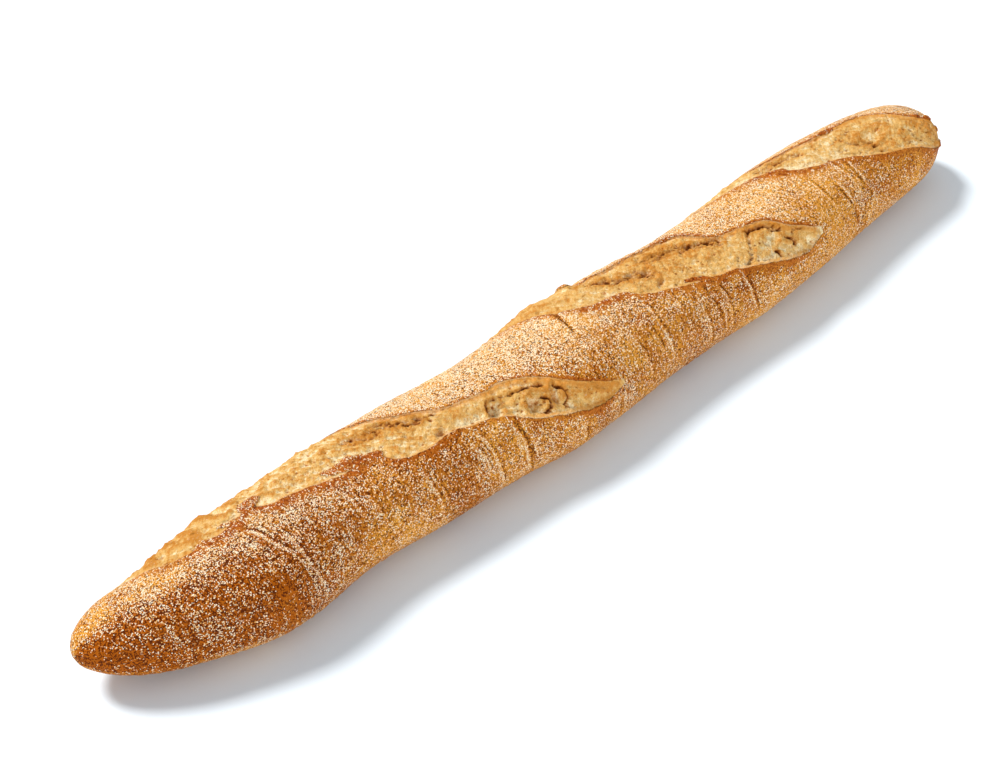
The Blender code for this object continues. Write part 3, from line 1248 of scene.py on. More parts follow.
    def raise_lump(self, lump: Lump) -> None:
        """Raise one mound, or press one dent."""
        along, across = self.local_place(lump.share, lump.degrees, 0.0)
        reach = np.hypot(2.0 * along / (lump.long * MM), 2.0 * across / (lump.wide * MM))
        self.relief.lift += lump.high * MM * bell(reach, lump.slope)

    def lift_scab(self, scab: Scab) -> None:
        """Stand one ragged flap of crust on the skin.

        Args:
            scab: The flap to lift.
        """
        along, across = self.local_place(scab.share, scab.degrees, scab.turn)
        u = 2.0 * along / (scab.long * MM)
        v = 2.0 * across / (scab.wide * MM)
        ragged = self.scabs.ragged.read(self.skin.tear, self.points)
        flap = 1.0 - ease(np.hypot(u, v) + ragged, *self.scabs.edge)
        self.relief.lift += scab.high * MM * flap
        self.relief.brown = np.maximum(self.relief.brown, scab.brown * flap)
        self.relief.crumb = self.relief.crumb * (1.0 - flap)
        self.relief.pit = self.relief.pit * (1.0 - flap)

    def press_crease(self, crease: Crease) -> None:
        """Press one wrinkle into the crust, with a shoulder on each side, flour in it, and a strip
        of painted shade with less flour beside it.

        Args:
            crease: The wrinkle to press.
        """
        form = self.creases
        width = crease.width * MM
        part = (crease.start - self.degrees) / (crease.start - crease.end)
        wander = form.wander.read(self.skin.swell, self.points)
        middle = crease.share * self.skin.form.length + crease.slant * MM * part + wander
        offset = self.share * self.skin.form.length - middle
        whole = ease(form.breaks.read(self.skin.swell, self.points), *form.break_edge)
        span = ease(part, *form.start) * ease(part, *form.end)
        span = span * (form.faintest + (1.0 - form.faintest) * whole)
        crust = 1.0 - self.relief.crumb
        groove = span * bell(offset, width) * crust
        shoulder = span * bell(np.abs(offset) - form.shoulder * width, width) * crust
        self.relief.lift += crease.depth * MM * (form.shoulder_height * shoulder - groove)
        # The strip on one side of the groove has less flour and more dark gaps: painted shade.
        bare_shade = span * bell(offset - form.bare_shade * width, form.bare_shade_width * width)
        self.relief.pale += form.floured * crease.pale * (groove - form.bare_shade_gain * bare_shade)

    def tear_crumb(self) -> None:
        """Roughen the crumb: bulges, torn flakes, slanting strands and small pores."""
        form = self.crumb
        tear = self.skin.tear
        torn = self.relief.torn
        flake = 1.0 - np.abs(form.flake.read(tear, self.points))
        flake = form.flake_height * flake * ease(self.degrees, *form.flake_edge)
        rough = form.rough - form.smoother * ease(self.share, *form.smooth_from)
        bulge = form.bulge.read(tear, self.points) + form.nub.read(tear, self.points)
        strand = form.strand_height * tear.swell(self.strands(*form.strand_size), 1.0)
        pores = ease(tear.pores(self.points, form.pore_size), *form.pore_edge)
        self.relief.lift += torn * (rough * (bulge + flake) + strand - form.pore_depth * pores)
        # Painted shade in the pores.
        self.darken(form.pore_shade * pores * torn)

    def toast_ridges(self) -> None:
        """Brown what stands proud of its surroundings and leave what lies low pale."""
        form = self.crumb
        level = self.relief.lift
        for _ in range(form.proud_passes):
            level = smoothed(smoothed(level, 0, form.proud_reach), 1, form.proud_reach)
        full_height = form.proud + form.proud_more * ease(self.share, *form.proud_from)
        proud = (self.relief.lift - level) / full_height
        ridge = np.clip(0.5 + 0.5 * proud, 0.0, 1.0)
        ridge = ridge * ease(self.relief.torn, *form.toasted_torn)
        for share, reach, extra in TOASTED:
            ridge += extra * bell(self.share - share, reach)
        self.relief.ridge = ridge

    def strands(self, long: float, fine: float) -> Array:
        """Lay out the space that the crumb's slanting strands are drawn in.

        Args:
            long: How far a strand's noise is stretched along it.
            fine: How wide a strand is.

        Returns:
            Points whose noise runs in strands.
        """
        along, across = self.local_place(0.5, 90.0, STRAND_TURN)
        return np.stack([along / long, across / fine, np.zeros_like(along)], -1)

    def blister_crust(self) -> None:
        """Raise the crust's gentle swells, blisters and fine transverse wrinkles."""
        form = self.crust
        swell = self.skin.swell
        crust = 1.0 - self.relief.crumb
        fine, long = form.wrinkle_size
        around = self.degrees * self.arc
        slanted = self.share * self.skin.form.length + form.wrinkle_slant * around
        space = np.stack([slanted / fine, around / long, np.zeros_like(around)], -1)
        cluster = sum(strength * bell(self.share - share, reach)
                      for share, reach, strength in WRINKLED)
        patchy = ease(form.clusters.read(swell, self.points), *form.cluster_edge)
        cluster = cluster * patchy * crust
        blister = ease(form.blister.read(swell, self.points), *form.blister_edge)
        fine_relief = form.blister_height * blister + form.pimple.read(swell, self.points)
        self.relief.lift += form.broad.read(swell, self.points) + crust * fine_relief
        self.relief.lift += form.wrinkle_height * swell.swell(space, 1.0) * cluster
        self.relief.streak = cluster


@dataclass(frozen=True)
class FlourForm:
    """How much flour lies where.  Spans are degrees round the section, or shares along it."""

    usual: float = 0.26
    least: float = 0.06
    most: float = 0.85
    patchy: Swells = Swells(26 * MM, 4, 0.6, swing=0.27, shift=0.5)
    crown: float = 0.42
    crown_front: Span = (40.0, 95.0)
    crown_back: Span = (205.0, 132.0)
    tip_lacks: float = 0.60
    near_tip: Span = (0.14, 0.02)
    far_lacks: float = 0.12
    far_crown: Span = (0.60, 0.76)
    belly: float = 0.03
    belly_front: Span = (12.0, -25.0)
    belly_back: Span = (175.0, 210.0)
    side_lacks: float = 0.11
    near_side: Span = (0.24, 0.06)
    end_lacks: float = 0.16
    near_end: Span = (0.06, 0.01)


@dataclass(frozen=True)
class BakeForm:
    """How darkly the crust is baked where.  Spans are as for the flour."""

    usual: float = 0.52
    patchy: Swells = Swells(38 * MM, swing=0.42)
    near: float = 0.50
    near_tip: Span = (0.26, 0.08)
    near_side: Span = (105.0, 60.0)
    belly: float = 0.36
    belly_front: Span = (0.0, -40.0)
    crown: float = 0.24
    crown_front: Span = (60.0, 95.0)
    crown_back: Span = (200.0, 135.0)
    along: tuple[tuple[float, Span], ...] = (
        (-0.10, (0.20, 0.36)), (-0.10, (0.60, 0.78)), (0.12, (0.82, 0.95)))


class Baguette:
    """The loaf: shapes its skin, dresses it and hands it to the frame."""

    def __init__(self) -> None:
        """Find where the CAD loaf lies, and lay out the skin's grid over its length."""
        self.low, self.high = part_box(NODE)
        self.skin = LoafSkin(LoafForm(self.high.x - self.low.x))
        self.shares = self.skin.ring_shares()
        columns = self.skin.column_angles()
        self.degrees = self.skin.snapped_angles(self.shares, columns)
        self.share = np.tile(self.shares[:, None], (1, len(columns)))

    def sideways_shift(self, plain: Array) -> float:
        """Find how far the plain form moves along Y to lie in the CAD loaf's box."""
        middle = 0.5 * (plain[..., 1].min() + plain[..., 1].max())
        return 0.5 * (self.low.y + self.high.y) - middle

    def outward(self, points: Array) -> Array:
        """Find the direction that faces out of the plain skin at every point.

        Args:
            points: The points of the plain skin's grid.

        Returns:
            One unit vector for each point.
        """
        along = np.gradient(points, axis=0)
        around = np.roll(points, -1, axis=1) - np.roll(points, 1, axis=1)
        normal = np.cross(along, around)
        return normal / np.linalg.norm(normal, axis=-1, keepdims=True)

    def sculpt(self) -> tuple[Array, Relief]:
        """Shape the whole skin.

        Returns:
            The finished points of the grid, and the relief with its masks.
        """
        form = self.skin.form
        plain = form.skin(self.share, self.degrees)
        radius = form.radius(self.share, self.degrees)
        arc = math.radians(1.0) * np.mean(radius, axis=1, keepdims=True)
        relief = Relief.flat(self.share.shape)
        sculptor = Sculptor(self.skin, self.shares, self.share, self.degrees, plain, arc, relief)
        sculptor.work()
        normal = self.outward(plain)
        around = np.roll(plain, -1, axis=1) - np.roll(plain, 1, axis=1)
        around /= np.linalg.norm(around, axis=-1, keepdims=True)
        free = ease(plain[..., 2], 0.0, FLAT_EDGE)[..., None]
        points = plain + free * (relief.lift[..., None] * normal + relief.slide[..., None] * around)
        points[..., 2] = np.maximum(points[..., 2], 0.0)
        points[..., 1] += self.sideways_shift(plain)
        return points, relief

    def build(self) -> bpy.types.Object:
        """Build the loaf's mesh and its masks, and dress it.

        Returns:
            The loaf's object.
        """
        points, relief = self.sculpt()
        rings, columns = self.share.shape
        tips = np.array([points[0].mean(0), points[-1].mean(0)])
        tips[:, 0] = self.low.x, self.high.x
        verts = np.concatenate([points.reshape(-1, 3), tips])
        mesh = bpy.data.meshes.new("baguette_loaf")
        mesh.from_pydata(verts.tolist(), [], skin_faces(rings, columns).tolist())
        mesh.update()
        # The pit mask carries painted shade in pits and caves; below 0, the pale mask carries
        # painted shade beside creases.
        masks = {"crumb": relief.crumb, "brown": relief.brown, "pit": relief.pit,
                 "pale": relief.pale, "ridge": relief.ridge, "streak": relief.streak,
                 "flour": self.flour(), "bake": self.bake()}
        for name, mask in masks.items():
            values = np.concatenate([mask.ravel(), [mask[0].mean(), mask[-1].mean()]])
            attribute = mesh.attributes.new(name, "FLOAT", "POINT")
            attribute.data.foreach_set("value", values.astype(np.float32))
        mesh.shade_smooth()
        mesh.materials.append(BreadFinish().material())
        loaf = bpy.data.objects.new("baguette_loaf", mesh)
        bpy.context.scene.collection.objects.link(loaf)
        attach(loaf, "root")
        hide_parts(NODE)
        return loaf

    def flour(self) -> Array:
        """Say how much of the crust its flour covers: most on the crown, least at the near tip.

        Returns:
            The cover, 0 to 1, at every point of the grid.
        """
        form = FlourForm()
        points = self.skin.form.skin(self.share, self.degrees)
        crown = ease(self.degrees, *form.crown_front) * ease(self.degrees, *form.crown_back)
        belly = ease(self.degrees, *form.belly_front) + ease(self.degrees, *form.belly_back)
        on_crown = form.crown * (1.0 - form.tip_lacks * ease(self.share, *form.near_tip))
        on_crown = on_crown - form.far_lacks * ease(self.share, *form.far_crown)
        cover = form.usual + crown * on_crown + form.belly * belly
        cover += form.patchy.read(self.skin.bake, points)
        cover -= form.side_lacks * ease(self.share, *form.near_side) * (1.0 - crown)
        cover -= form.end_lacks * ease(self.share, *form.near_end)
        return np.clip(cover, form.least, form.most)

    def bake(self) -> Array:
        """Say how darkly the crust is baked: most on the sides, and at the near tip.

        Returns:
            The darkness, 0 to 1, at every point of the grid.
        """
        form = BakeForm()
        points = self.skin.form.skin(self.share, self.degrees)
        near = ease(self.share, *form.near_tip) * ease(self.degrees, *form.near_side)
        crown = ease(self.degrees, *form.crown_front) * ease(self.degrees, *form.crown_back)
        tone = form.usual + form.patchy.read(self.skin.bake, points) + form.near * near
        tone -= form.belly * ease(self.degrees, *form.belly_front) + form.crown * crown
        for change, span in form.along:
            tone += change * ease(self.share, *span)
        return np.clip(tone, 0.0, 1.0)


def skin_faces(rings: int, columns: int) -> NDArray[np.int64]:
    """List the triangles of a tube of rings that is closed by a point at each end.

    Args:
        rings: How many rings.
        columns: How many points each ring has.

    Returns:
        Three point numbers for each triangle, facing out.
    """
    ring = np.arange(rings - 1)[:, None] * columns
    column = np.arange(columns)[None, :]
    beside = (column + 1) % columns
    here = (ring + column).ravel()
    next_column = (ring + beside).ravel()
    next_ring = (ring + columns + column).ravel()
    both = (ring + columns + beside).ravel()
    first = np.stack([here, next_column, next_ring], -1)
    second = np.stack([next_column, both, next_ring], -1)
    near_tip = rings * columns
    far_tip = near_tip + 1
    edge = np.arange(columns)
    edge_beside = (edge + 1) % columns
    last = (rings - 1) * columns
    near = np.stack([np.full(columns, near_tip), edge_beside, edge], -1)
    far = np.stack([np.full(columns, far_tip), last + edge, last + edge_beside], -1)
    return np.concatenate([first, second, near, far])


class Sum(Enum):
    """The ways a material joins two values."""

    PLUS = "ADD"
    MINUS = "SUBTRACT"
    TIMES = "MULTIPLY"
    LEAST = "MINIMUM"


@dataclass(frozen=True)
class Pattern:
    """Soft noise in a finish.

    Size is that of its features, in metres, and swing is how far it moves a value that it is
    added to.  Features are stretched along X, Y and Z, and then turned about Z in degrees.
    """

    size: float
    detail: float = 3.0
    rough: float = 0.65
    swing: float = 1.0
    stretch: tuple[float, float, float] = (1.0, 1.0, 1.0)
    turn: float = 0.0


class Board:
    """A material's node board, with short calls for the nodes that bread needs."""

    def __init__(self, name: str) -> None:
        """Start a material that holds one Principled shader.

        Args:
            name: The material's name.
        """
        self.material = bpy.data.materials.new(name)
        self.material.use_nodes = True
        self.tree = self.material.node_tree
        self.shader = self.tree.nodes["Principled BSDF"]
        place = self.tree.nodes.new("ShaderNodeTexCoord")
        self.place = place.outputs["Object"]

    def feed(self, socket: Socket, value: object) -> None:
        """Link a socket to another node's output, or set it to a plain value.

        Args:
            socket: The socket to feed.
            value: An output socket, a number or a colour.
        """
        if isinstance(value, bpy.types.NodeSocket):
            self.tree.links.new(value, socket)
        else:
            socket.default_value = value

    def mask(self, name: str) -> Socket:
        """Read one of the mesh's masks."""
        node = self.tree.nodes.new("ShaderNodeAttribute")
        node.attribute_name = name
        return node.outputs["Fac"]

    def noise(self, pattern: Pattern) -> Socket:
        """Draw a pattern.

        Args:
            pattern: The pattern to draw.

        Returns:
            The noise, about 0 to 1.
        """
        scale = self.tree.nodes.new("ShaderNodeMapping")
        scale.vector_type = "TEXTURE"
        self.feed(scale.inputs["Vector"], self.place)
        scale.inputs["Rotation"].default_value[2] = math.radians(pattern.turn)
        scale.inputs["Scale"].default_value = [pattern.size * part for part in pattern.stretch]
        node = self.tree.nodes.new("ShaderNodeTexNoise")
        self.feed(node.inputs["Vector"], scale.outputs["Vector"])
        node.inputs["Scale"].default_value = 1.0
        node.inputs["Detail"].default_value = pattern.detail
        node.inputs["Roughness"].default_value = pattern.rough
        return node.outputs["Fac"]

    def swing(self, pattern: Pattern) -> Socket:
        """Draw a pattern that moves a value up and down."""
        return self.centred(self.noise(pattern), pattern.swing)

    def grains(self, size: float) -> tuple[Socket, Socket, Socket]:
        """Scatter close-packed grains.

        Args:
            size: How far apart they are, in metres.

        Returns:
            How far a point is from its grain's middle, and two chances of 0 to 1 for each grain.
        """
        node = self.tree.nodes.new("ShaderNodeTexVoronoi")
        self.feed(node.inputs["Vector"], self.place)
        node.inputs["Scale"].default_value = 1.0 / size
        split = self.tree.nodes.new("ShaderNodeSeparateColor")
        self.feed(split.inputs[0], node.outputs["Color"])
        return node.outputs["Distance"], split.outputs[0], split.outputs[1]

    def join(self, kind: Sum, first: object, second: object) -> Socket:
        """Join two values by one sum.

        Args:
            kind: Which sum.
            first: The first value.
            second: The second value.

        Returns:
            The sum's output.
        """
        node = self.tree.nodes.new("ShaderNodeMath")
        node.operation = kind.value
        self.feed(node.inputs[0], first)
        self.feed(node.inputs[1], second)
        return node.outputs["Value"]

    def plus(self, first: object, second: object) -> Socket:
        """Add two values."""
        return self.join(Sum.PLUS, first, second)

    def minus(self, first: object, second: object) -> Socket:
        """Take the second value from the first."""
        return self.join(Sum.MINUS, first, second)

    def times(self, first: object, second: object) -> Socket:
        """Multiply two values."""
        return self.join(Sum.TIMES, first, second)

    def centred(self, value: Socket, amount: float) -> Socket:
        """Turn a value of 0 to 1 into a shift of up to half the amount either way."""
        return self.times(self.minus(value, 0.5), amount)

    def rise(self, value: object, low: float, high: float,
             start: float = 0.0, end: float = 1.0) -> Socket:
        """Rise smoothly from start, where the value is low, to end, where it is high.

        Args:
            value: The value that carries the rise.
            low: Where the rise starts.
            high: Where it ends; below low, the value falls to it.
            start: What it gives at low.
            end: What it gives at high.

        Returns:
            The risen value.
        """
        node = self.tree.nodes.new("ShaderNodeMapRange")
        node.interpolation_type = "SMOOTHSTEP"
        for name, part in (("Value", value), ("From Min", low), ("From Max", high),
                           ("To Min", start), ("To Max", end)):
            self.feed(node.inputs[name], part)
        return node.outputs["Result"]

    def lay(self, under: object, over: object, amount: object) -> Socket:
        """Lay one colour over another, by an amount of 0 to 1.

        Args:
            under: The colour beneath.
            over: The colour on top.
            amount: How much of the top colour shows.

        Returns:
            The joint colour.
        """
        node = self.tree.nodes.new("ShaderNodeMix")
        node.data_type = "RGBA"
        self.feed(node.inputs[0], amount)
        self.feed(node.inputs[6], under)
        self.feed(node.inputs[7], over)
        return node.outputs[2]

    def blend(self, first: object, second: object, amount: object) -> Socket:
        """Go from one value to another, by an amount of 0 to 1.

        Args:
            first: The value at an amount of 0.
            second: The value at 1.
            amount: How far to go.

        Returns:
            The value between them.
        """
        node = self.tree.nodes.new("ShaderNodeMix")
        node.data_type = "FLOAT"
        self.feed(node.inputs[0], amount)
        self.feed(node.inputs[2], first)
        self.feed(node.inputs[3], second)
        return node.outputs[0]


@dataclass(frozen=True)
class Grains:
    """The crust's grains as a board draws them: each one's disc, and two chances of its own."""

    distance: Socket
    chance: Socket
    luck: Socket


@dataclass(frozen=True)
class BreadFinish:
    """The colours and grain of the crust, its coarse flour and the torn crumb.

    Coats are (low, high, start, end): how much of a colour is laid on, from start where the
    value that carries it is low to end where it is high.
    """

    gold: Colour = paint(224, 157, 60)
    brown: Colour = paint(162, 82, 8)
    # Dark crust between the grains, partly painted shade in the crevices between them.
    dark: Colour = paint(72, 22, 2)
    lip: Colour = paint(180, 94, 32)
    lip_dark: Colour = paint(122, 52, 12)
    amber: Colour = paint(218, 142, 58)
    flour: Colour = paint(255, 246, 220)
    flour_dim: Colour = paint(245, 190, 112)
    crumb_pale: Colour = paint(246, 226, 180)
    crumb_gold: Colour = paint(224, 178, 104)
    toast: Colour = paint(196, 122, 38)
    # Dark brown of shaded pits: partly burnt crumb, partly painted shade.
    burnt_and_shade: Colour = paint(142, 74, 18)
    # Painted shade deep in caves and pits.
    cave: Colour = paint(84, 40, 8)

    grain: float = 0.53 * MM
    fray: Pattern = Pattern(1.6 * MM)
    crust_tone: Pattern = Pattern(8 * MM, 4.0, 0.60)
    lip_tone: Pattern = Pattern(2.8 * MM, 3.0, 0.60)
    gaps: Pattern = Pattern(2.2 * MM, 2.0, 0.60, 0.60)
    drifts: Pattern = Pattern(4.0 * MM, 4.0, 0.70, 0.75)
    lines: Pattern = Pattern(1.4 * MM, 3.0, 0.60, 2.2, (1.0, 14.0, 14.0), 12.0)
    blotch: Pattern = Pattern(8.5 * MM, 5.0, 0.72)
    strands: Pattern = Pattern(1.6 * MM, 4.0, 0.70, 0.90, (1.0, 5.0, 5.0), STRAND_TURN)
    flakes: Pattern = Pattern(2.0 * MM, 4.0, 0.72, 0.75)
    flecks: Pattern = Pattern(1.0 * MM, 3.0, 0.75)
    face: Pattern = Pattern(3.0 * MM, 4.0, 0.65)
    pit_edge: Pattern = Pattern(1.6 * MM, 3.0, 0.65, 0.80)
    grit: Pattern = Pattern(0.9 * MM)
    tooth: Pattern = Pattern(3.0 * MM, 4.0, 0.62)

    brown_coat: Coat = (0.35, 1.25, 0.0, 1.0)
    lip_coat: Coat = (0.25, 0.75, 0.0, 1.0)
    mottle: Coat = (0.32, 0.62, 0.55, 1.15)
    dark_gap_and_shade_coat: Coat = (0.92, 1.02, 0.0, 0.90)
    flour_edge: Coat = (-0.02, 0.02, 0.0, 1.0)
    flour_disc: Coat = (0.68, 0.54, 0.0, 1.0)
    dim_coat: Coat = (0.20, 1.00, 0.0, 1.0)
    gold_coat: Coat = (0.55, 0.95, 0.0, 1.0)
    flake_coat: Coat = (0.96, 1.30, 0.0, 0.85)
    fleck_coat: Coat = (0.49, 0.34, 0.0, 0.80)
    speck_coat: Coat = (0.60, 0.72, 0.0, 0.45)
    face_coat: Coat = (0.45, 0.70, 0.0, 1.0)
    # Painted shade in pits and caves, from toast at its edge through burnt brown to the darkest
    # cave shade.
    hollow_shade_coat: Coat = (0.20, 0.48, 0.0, 0.75)
    burnt_and_shade_coat: Coat = (0.45, 0.68, 0.0, 0.85)
    cave_shade_coat: Coat = (0.66, 0.95, 0.0, 0.95)
    dome: Coat = (0.65, 0.10, 0.0, 1.0)

    crumb_edge: Coat = (0.40, 0.60, 0.0, 1.0)
    fray_reach: float = 0.90            # how far the fray moves the crumb's edge
    crust_luck: float = 0.70            # how far each grain's luck moves a tone
    lip_luck: float = 0.50
    crumb_luck: float = 0.20
    baked_gaps: float = 0.38            # how many more dark gaps dark crust has
    lip_gaps: float = 0.20              # and how many fewer a lip has
    pale_gaps: float = 0.80             # and a floured crease
    pale_flour: float = 0.80            # how much more flour a floured crease has
    lip_flour: float = 0.50             # and how much less a lip has
    ridge_tone: float = 0.62            # how far a ridge of crumb is toasted
    bake_tone: float = 0.30
    face_cover: float = 0.85

    roughness: float = 0.55
    flour_roughness: float = 0.35       # more where flour lies
    sheen: float = 0.04
    bump_strength: float = 0.9
    bump_height: float = 0.3 * MM
    tooth_gain: float = 10.0

    def material(self) -> bpy.types.Material:
        """Mix the whole finish on one board.

        Returns:
            The finished material.
        """
        board = Board("baked_bread")
        grains = Grains(*board.grains(self.grain))
        fray = board.noise(self.fray)
        crumb = self.frayed(board, board.mask("crumb"), fray)
        browned = board.times(board.mask("brown"), board.rise(fray, *self.mottle))
        browned = board.join(Sum.LEAST, browned, 1.0)
        crust_colour, flour = self.crust(board, grains, browned)
        crumb_colour = self.crumb(board, grains, browned)
        colour = board.lay(crust_colour, crumb_colour, crumb)
        board.feed(board.shader.inputs["Base Color"], colour)
        rough = board.plus(self.roughness, board.times(flour, self.flour_roughness))
        board.feed(board.shader.inputs["Roughness"], rough)
        self.bump(board, grains, flour, crumb)
        board.shader.inputs["Specular IOR Level"].default_value = self.sheen
        return board.material

    def frayed(self, board: Board, mask: Socket, fray: Socket) -> Socket:
        """Give a soft mask a crisp, torn edge where it passes one half.

        Args:
            board: The board to draw on.
            mask: The soft mask.
            fray: The noise that tears its edge.

        Returns:
            The torn mask.
        """
        moved = board.plus(mask, board.centred(fray, self.fray_reach))
        return board.rise(moved, *self.crumb_edge)

    def crust(self, board: Board, grains: Grains, browned: Socket) -> tuple[Socket, Socket]:
        """Colour the crust and scatter flour on it.

        Args:
            board: The board to draw on.
            grains: The crust's grains, each of them flour, crust or a dark gap.
            browned: How far the crust is baked red-brown beside a score.

        Returns:
            The crust's colour, and where its flour is.
        """
        bake = board.mask("bake")
        tone = board.plus(bake, board.noise(self.crust_tone))
        tone = board.plus(tone, board.centred(grains.luck, self.crust_luck))
        colour = board.lay(self.gold, self.brown, board.rise(tone, *self.brown_coat))
        red_tone = board.plus(board.noise(self.lip_tone),
                              board.centred(grains.luck, self.lip_luck))
        red = board.lay(self.lip, self.lip_dark, board.rise(red_tone, *self.lip_coat))
        colour = board.lay(colour, red, browned)
        pale = board.mask("pale")
        # Dark gaps: grains of dark crust, partly painted shade between the grains; more where the
        # crust is baked darker.
        gap = board.plus(grains.chance, board.times(bake, self.baked_gaps))
        gap = board.plus(gap, board.swing(self.gaps))
        gap = board.minus(gap, board.times(browned, self.lip_gaps))
        gap = board.minus(gap, board.times(pale, self.pale_gaps))
        colour = board.lay(colour, self.dark, board.rise(gap, *self.dark_gap_and_shade_coat))
        cover = board.plus(board.mask("flour"), board.swing(self.drifts))
        cover = board.plus(cover, board.times(pale, self.pale_flour))
        cover = board.plus(cover, board.times(board.mask("streak"), board.swing(self.lines)))
        cover = board.minus(cover, board.times(browned, self.lip_flour))
        here = board.rise(board.minus(cover, grains.chance), *self.flour_edge)
        flour = board.times(here, board.rise(grains.distance, *self.flour_disc))
        white = board.lay(self.flour, self.flour_dim, board.rise(grains.luck, *self.dim_coat))
        return board.lay(colour, white, flour), flour

    def crumb(self, board: Board, grains: Grains, browned: Socket) -> Socket:
        """Colour the torn crumb: pale where it lies low, toasted where it stands proud, and with
        painted shade in its pits and caves.

        Args:
            board: The board to draw on.
            grains: The small grains that vary its tone.
            browned: How far the crumb is toasted beside the lips.

        Returns:
            The crumb's colour.
        """
        tone = board.plus(board.times(board.mask("ridge"), self.ridge_tone),
                          board.noise(self.blotch))
        tone = board.plus(tone, board.times(board.mask("bake"), self.bake_tone))
        tone = board.plus(tone, board.centred(grains.luck, self.crumb_luck))
        tone = board.plus(tone, board.swing(self.strands))
        colour = board.lay(self.crumb_pale, self.crumb_gold, board.rise(tone, *self.gold_coat))
        crust_like = board.plus(tone, board.swing(self.flakes))
        colour = board.lay(colour, self.toast, board.rise(crust_like, *self.flake_coat))
        flecks = board.noise(self.flecks)
        colour = board.lay(colour, self.toast, board.rise(flecks, *self.fleck_coat))
        colour = board.lay(colour, self.flour, board.rise(flecks, *self.speck_coat))
        face = board.lay(self.amber, self.toast,
                         board.rise(board.noise(self.face), *self.face_coat))
        colour = board.lay(colour, face, board.times(browned, self.face_cover))
        # Painted shade: the pit mask lays toast, then burnt brown, then near black into pits, caves
        # and hollows.
        pit = board.plus(board.mask("pit"), board.swing(self.pit_edge))
        colour = board.lay(colour, self.toast, board.rise(pit, *self.hollow_shade_coat))
        colour = board.lay(colour, self.burnt_and_shade, board.rise(pit, *self.burnt_and_shade_coat))
        return board.lay(colour, self.cave, board.rise(pit, *self.cave_shade_coat))

    def bump(self, board: Board, grains: Grains, flour: Socket, crumb: Socket) -> None:
        """Raise the grains of the crust and the fine tooth of the crumb.

        Args:
            board: The board to draw on.
            grains: The crust's grains.
            flour: Where the crust's flour is.
            crumb: Where the skin is crumb.
        """
        grit = board.noise(self.grit)
        dome = board.rise(grains.distance, *self.dome)
        pile = board.plus(board.times(flour, dome), grit)
        tooth = board.times(board.noise(self.tooth), self.tooth_gain)
        node = board.tree.nodes.new("ShaderNodeBump")
        node.inputs["Strength"].default_value = self.bump_strength
        node.inputs["Distance"].default_value = self.bump_height
        board.feed(node.inputs["Height"], board.blend(pile, tooth, crumb))
        board.feed(board.shader.inputs["Normal"], node.outputs["Normal"])


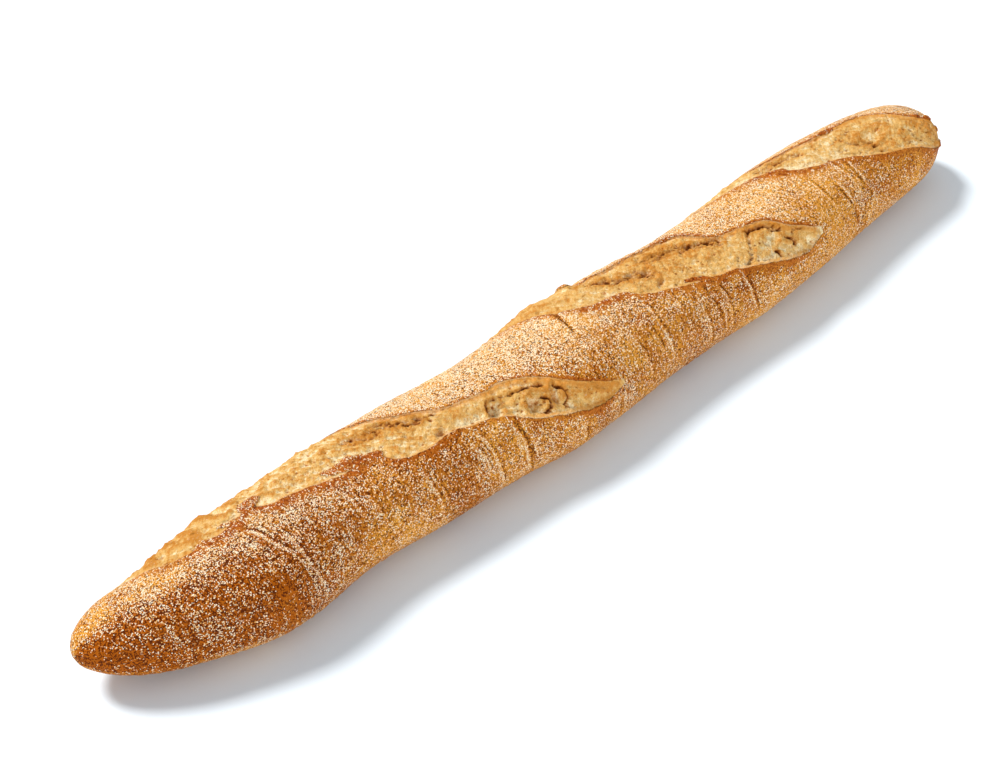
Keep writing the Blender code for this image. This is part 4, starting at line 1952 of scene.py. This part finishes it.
@dataclass(frozen=True)
class Studio:
    """The plain floor, the soft light and the camera."""

    lens: float = 86.3                  # millimetres, on film 36 mm wide
    film: float = 36.0
    target: tuple[float, float, float] = (-0.0313, 0.0122, 0.025)
    distance: float = 1.14
    elevation: float = 42.0             # degrees
    yaw: float = 43.25                  # degrees from +Y towards +X, of the way it looks
    far_clip: float = 100.0
    floor_size: float = 40.0
    sun_angle: float = 17.0
    sun_elevation: float = 52.0
    sun_azimuth: float = 110.0
    sun_strength: float = 3.3
    fill_angle: float = 36.0
    fill_elevation: float = 8.0
    fill_azimuth: float = -112.0
    fill_strength: float = 1.75
    sky_strength: float = 0.55
    sky_colour: Colour = (0.93, 0.98, 1.02, 1.0)
    floor_colour: Colour = (0.845, 0.91, 0.96, 1.0)
    floor_roughness: float = 0.9

    def camera(self) -> None:
        """Stand the camera in front of the loaf's near end, looking down along it."""
        tilt = math.radians(self.elevation)
        yaw = math.radians(self.yaw)
        ahead = Vector((math.sin(yaw), math.cos(yaw), 0.0)) * math.cos(tilt)
        ahead -= Vector((0.0, 0.0, math.sin(tilt)))
        data = bpy.data.cameras.new("camera")
        data.lens = self.lens
        data.sensor_width = self.film
        data.clip_end = self.far_clip
        camera = bpy.data.objects.new("camera", data)
        camera.rotation_euler = ahead.to_track_quat("-Z", "Y").to_euler()
        camera.location = Vector(self.target) - ahead * self.distance
        bpy.context.scene.collection.objects.link(camera)
        bpy.context.scene.camera = camera

    def floor(self) -> None:
        """Lay a plain white floor."""
        half = 0.5 * self.floor_size
        mesh = bpy.data.meshes.new("floor")
        corners = [(-half, -half, 0.0), (half, -half, 0.0), (half, half, 0.0), (-half, half, 0.0)]
        mesh.from_pydata(corners, [], [(0, 1, 2, 3)])
        board = Board("white_floor")
        board.shader.inputs["Base Color"].default_value = self.floor_colour
        board.shader.inputs["Roughness"].default_value = self.floor_roughness
        board.shader.inputs["Specular IOR Level"].default_value = 0.0
        mesh.materials.append(board.material)
        floor = bpy.data.objects.new("floor", mesh)
        bpy.context.scene.collection.objects.link(floor)

    def sun(self, name: str, strength: float, angle: float, elevation: float,
            azimuth: float) -> None:
        """Hang one far, soft light.

        Args:
            name: The light's name.
            strength: How bright it is.
            angle: How wide it looks from the loaf, in degrees.
            elevation: How high it stands, in degrees.
            azimuth: Which way it stands from the loaf, in degrees from +X towards +Y.
        """
        data = bpy.data.lights.new(name, "SUN")
        data.energy = strength
        data.angle = math.radians(angle)
        light = bpy.data.objects.new(name, data)
        height = math.radians(elevation)
        turn = math.radians(azimuth)
        towards = Vector((math.cos(turn) * math.cos(height), math.sin(turn) * math.cos(height),
                          math.sin(height)))
        light.rotation_euler = towards.to_track_quat("Z", "Y").to_euler()
        bpy.context.scene.collection.objects.link(light)

    def light(self) -> None:
        """Light the loaf from behind, fill its front, and let a white sky soften the shadow."""
        self.sun("key", self.sun_strength, self.sun_angle, self.sun_elevation, self.sun_azimuth)
        self.sun("fill", self.fill_strength, self.fill_angle, self.fill_elevation,
                 self.fill_azimuth)
        world = bpy.data.worlds.new("white_room")
        world.use_nodes = True
        sky = world.node_tree.nodes["Background"]
        sky.inputs["Color"].default_value = self.sky_colour
        sky.inputs["Strength"].default_value = self.sky_strength
        bpy.context.scene.world = world
        bpy.context.scene.view_settings.view_transform = "Standard"

    def set_up(self) -> None:
        """Put up the whole studio."""
        self.camera()
        self.floor()
        self.light()


def corners(box: tuple[Vector, Vector]) -> list[list[float]]:
    """Turn a box's two corners into plain lists."""
    return [list(corner) for corner in box]


def main() -> None:
    """Build the studio and the loaf around the CAD model."""
    logging.basicConfig(level=logging.INFO, format="%(message)s", stream=sys.stdout)
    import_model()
    Studio().set_up()
    loaf = Baguette().build()
    LOG.info("%s: %d triangles", loaf.name, len(loaf.data.polygons))


if __name__ == "__main__":
    main()
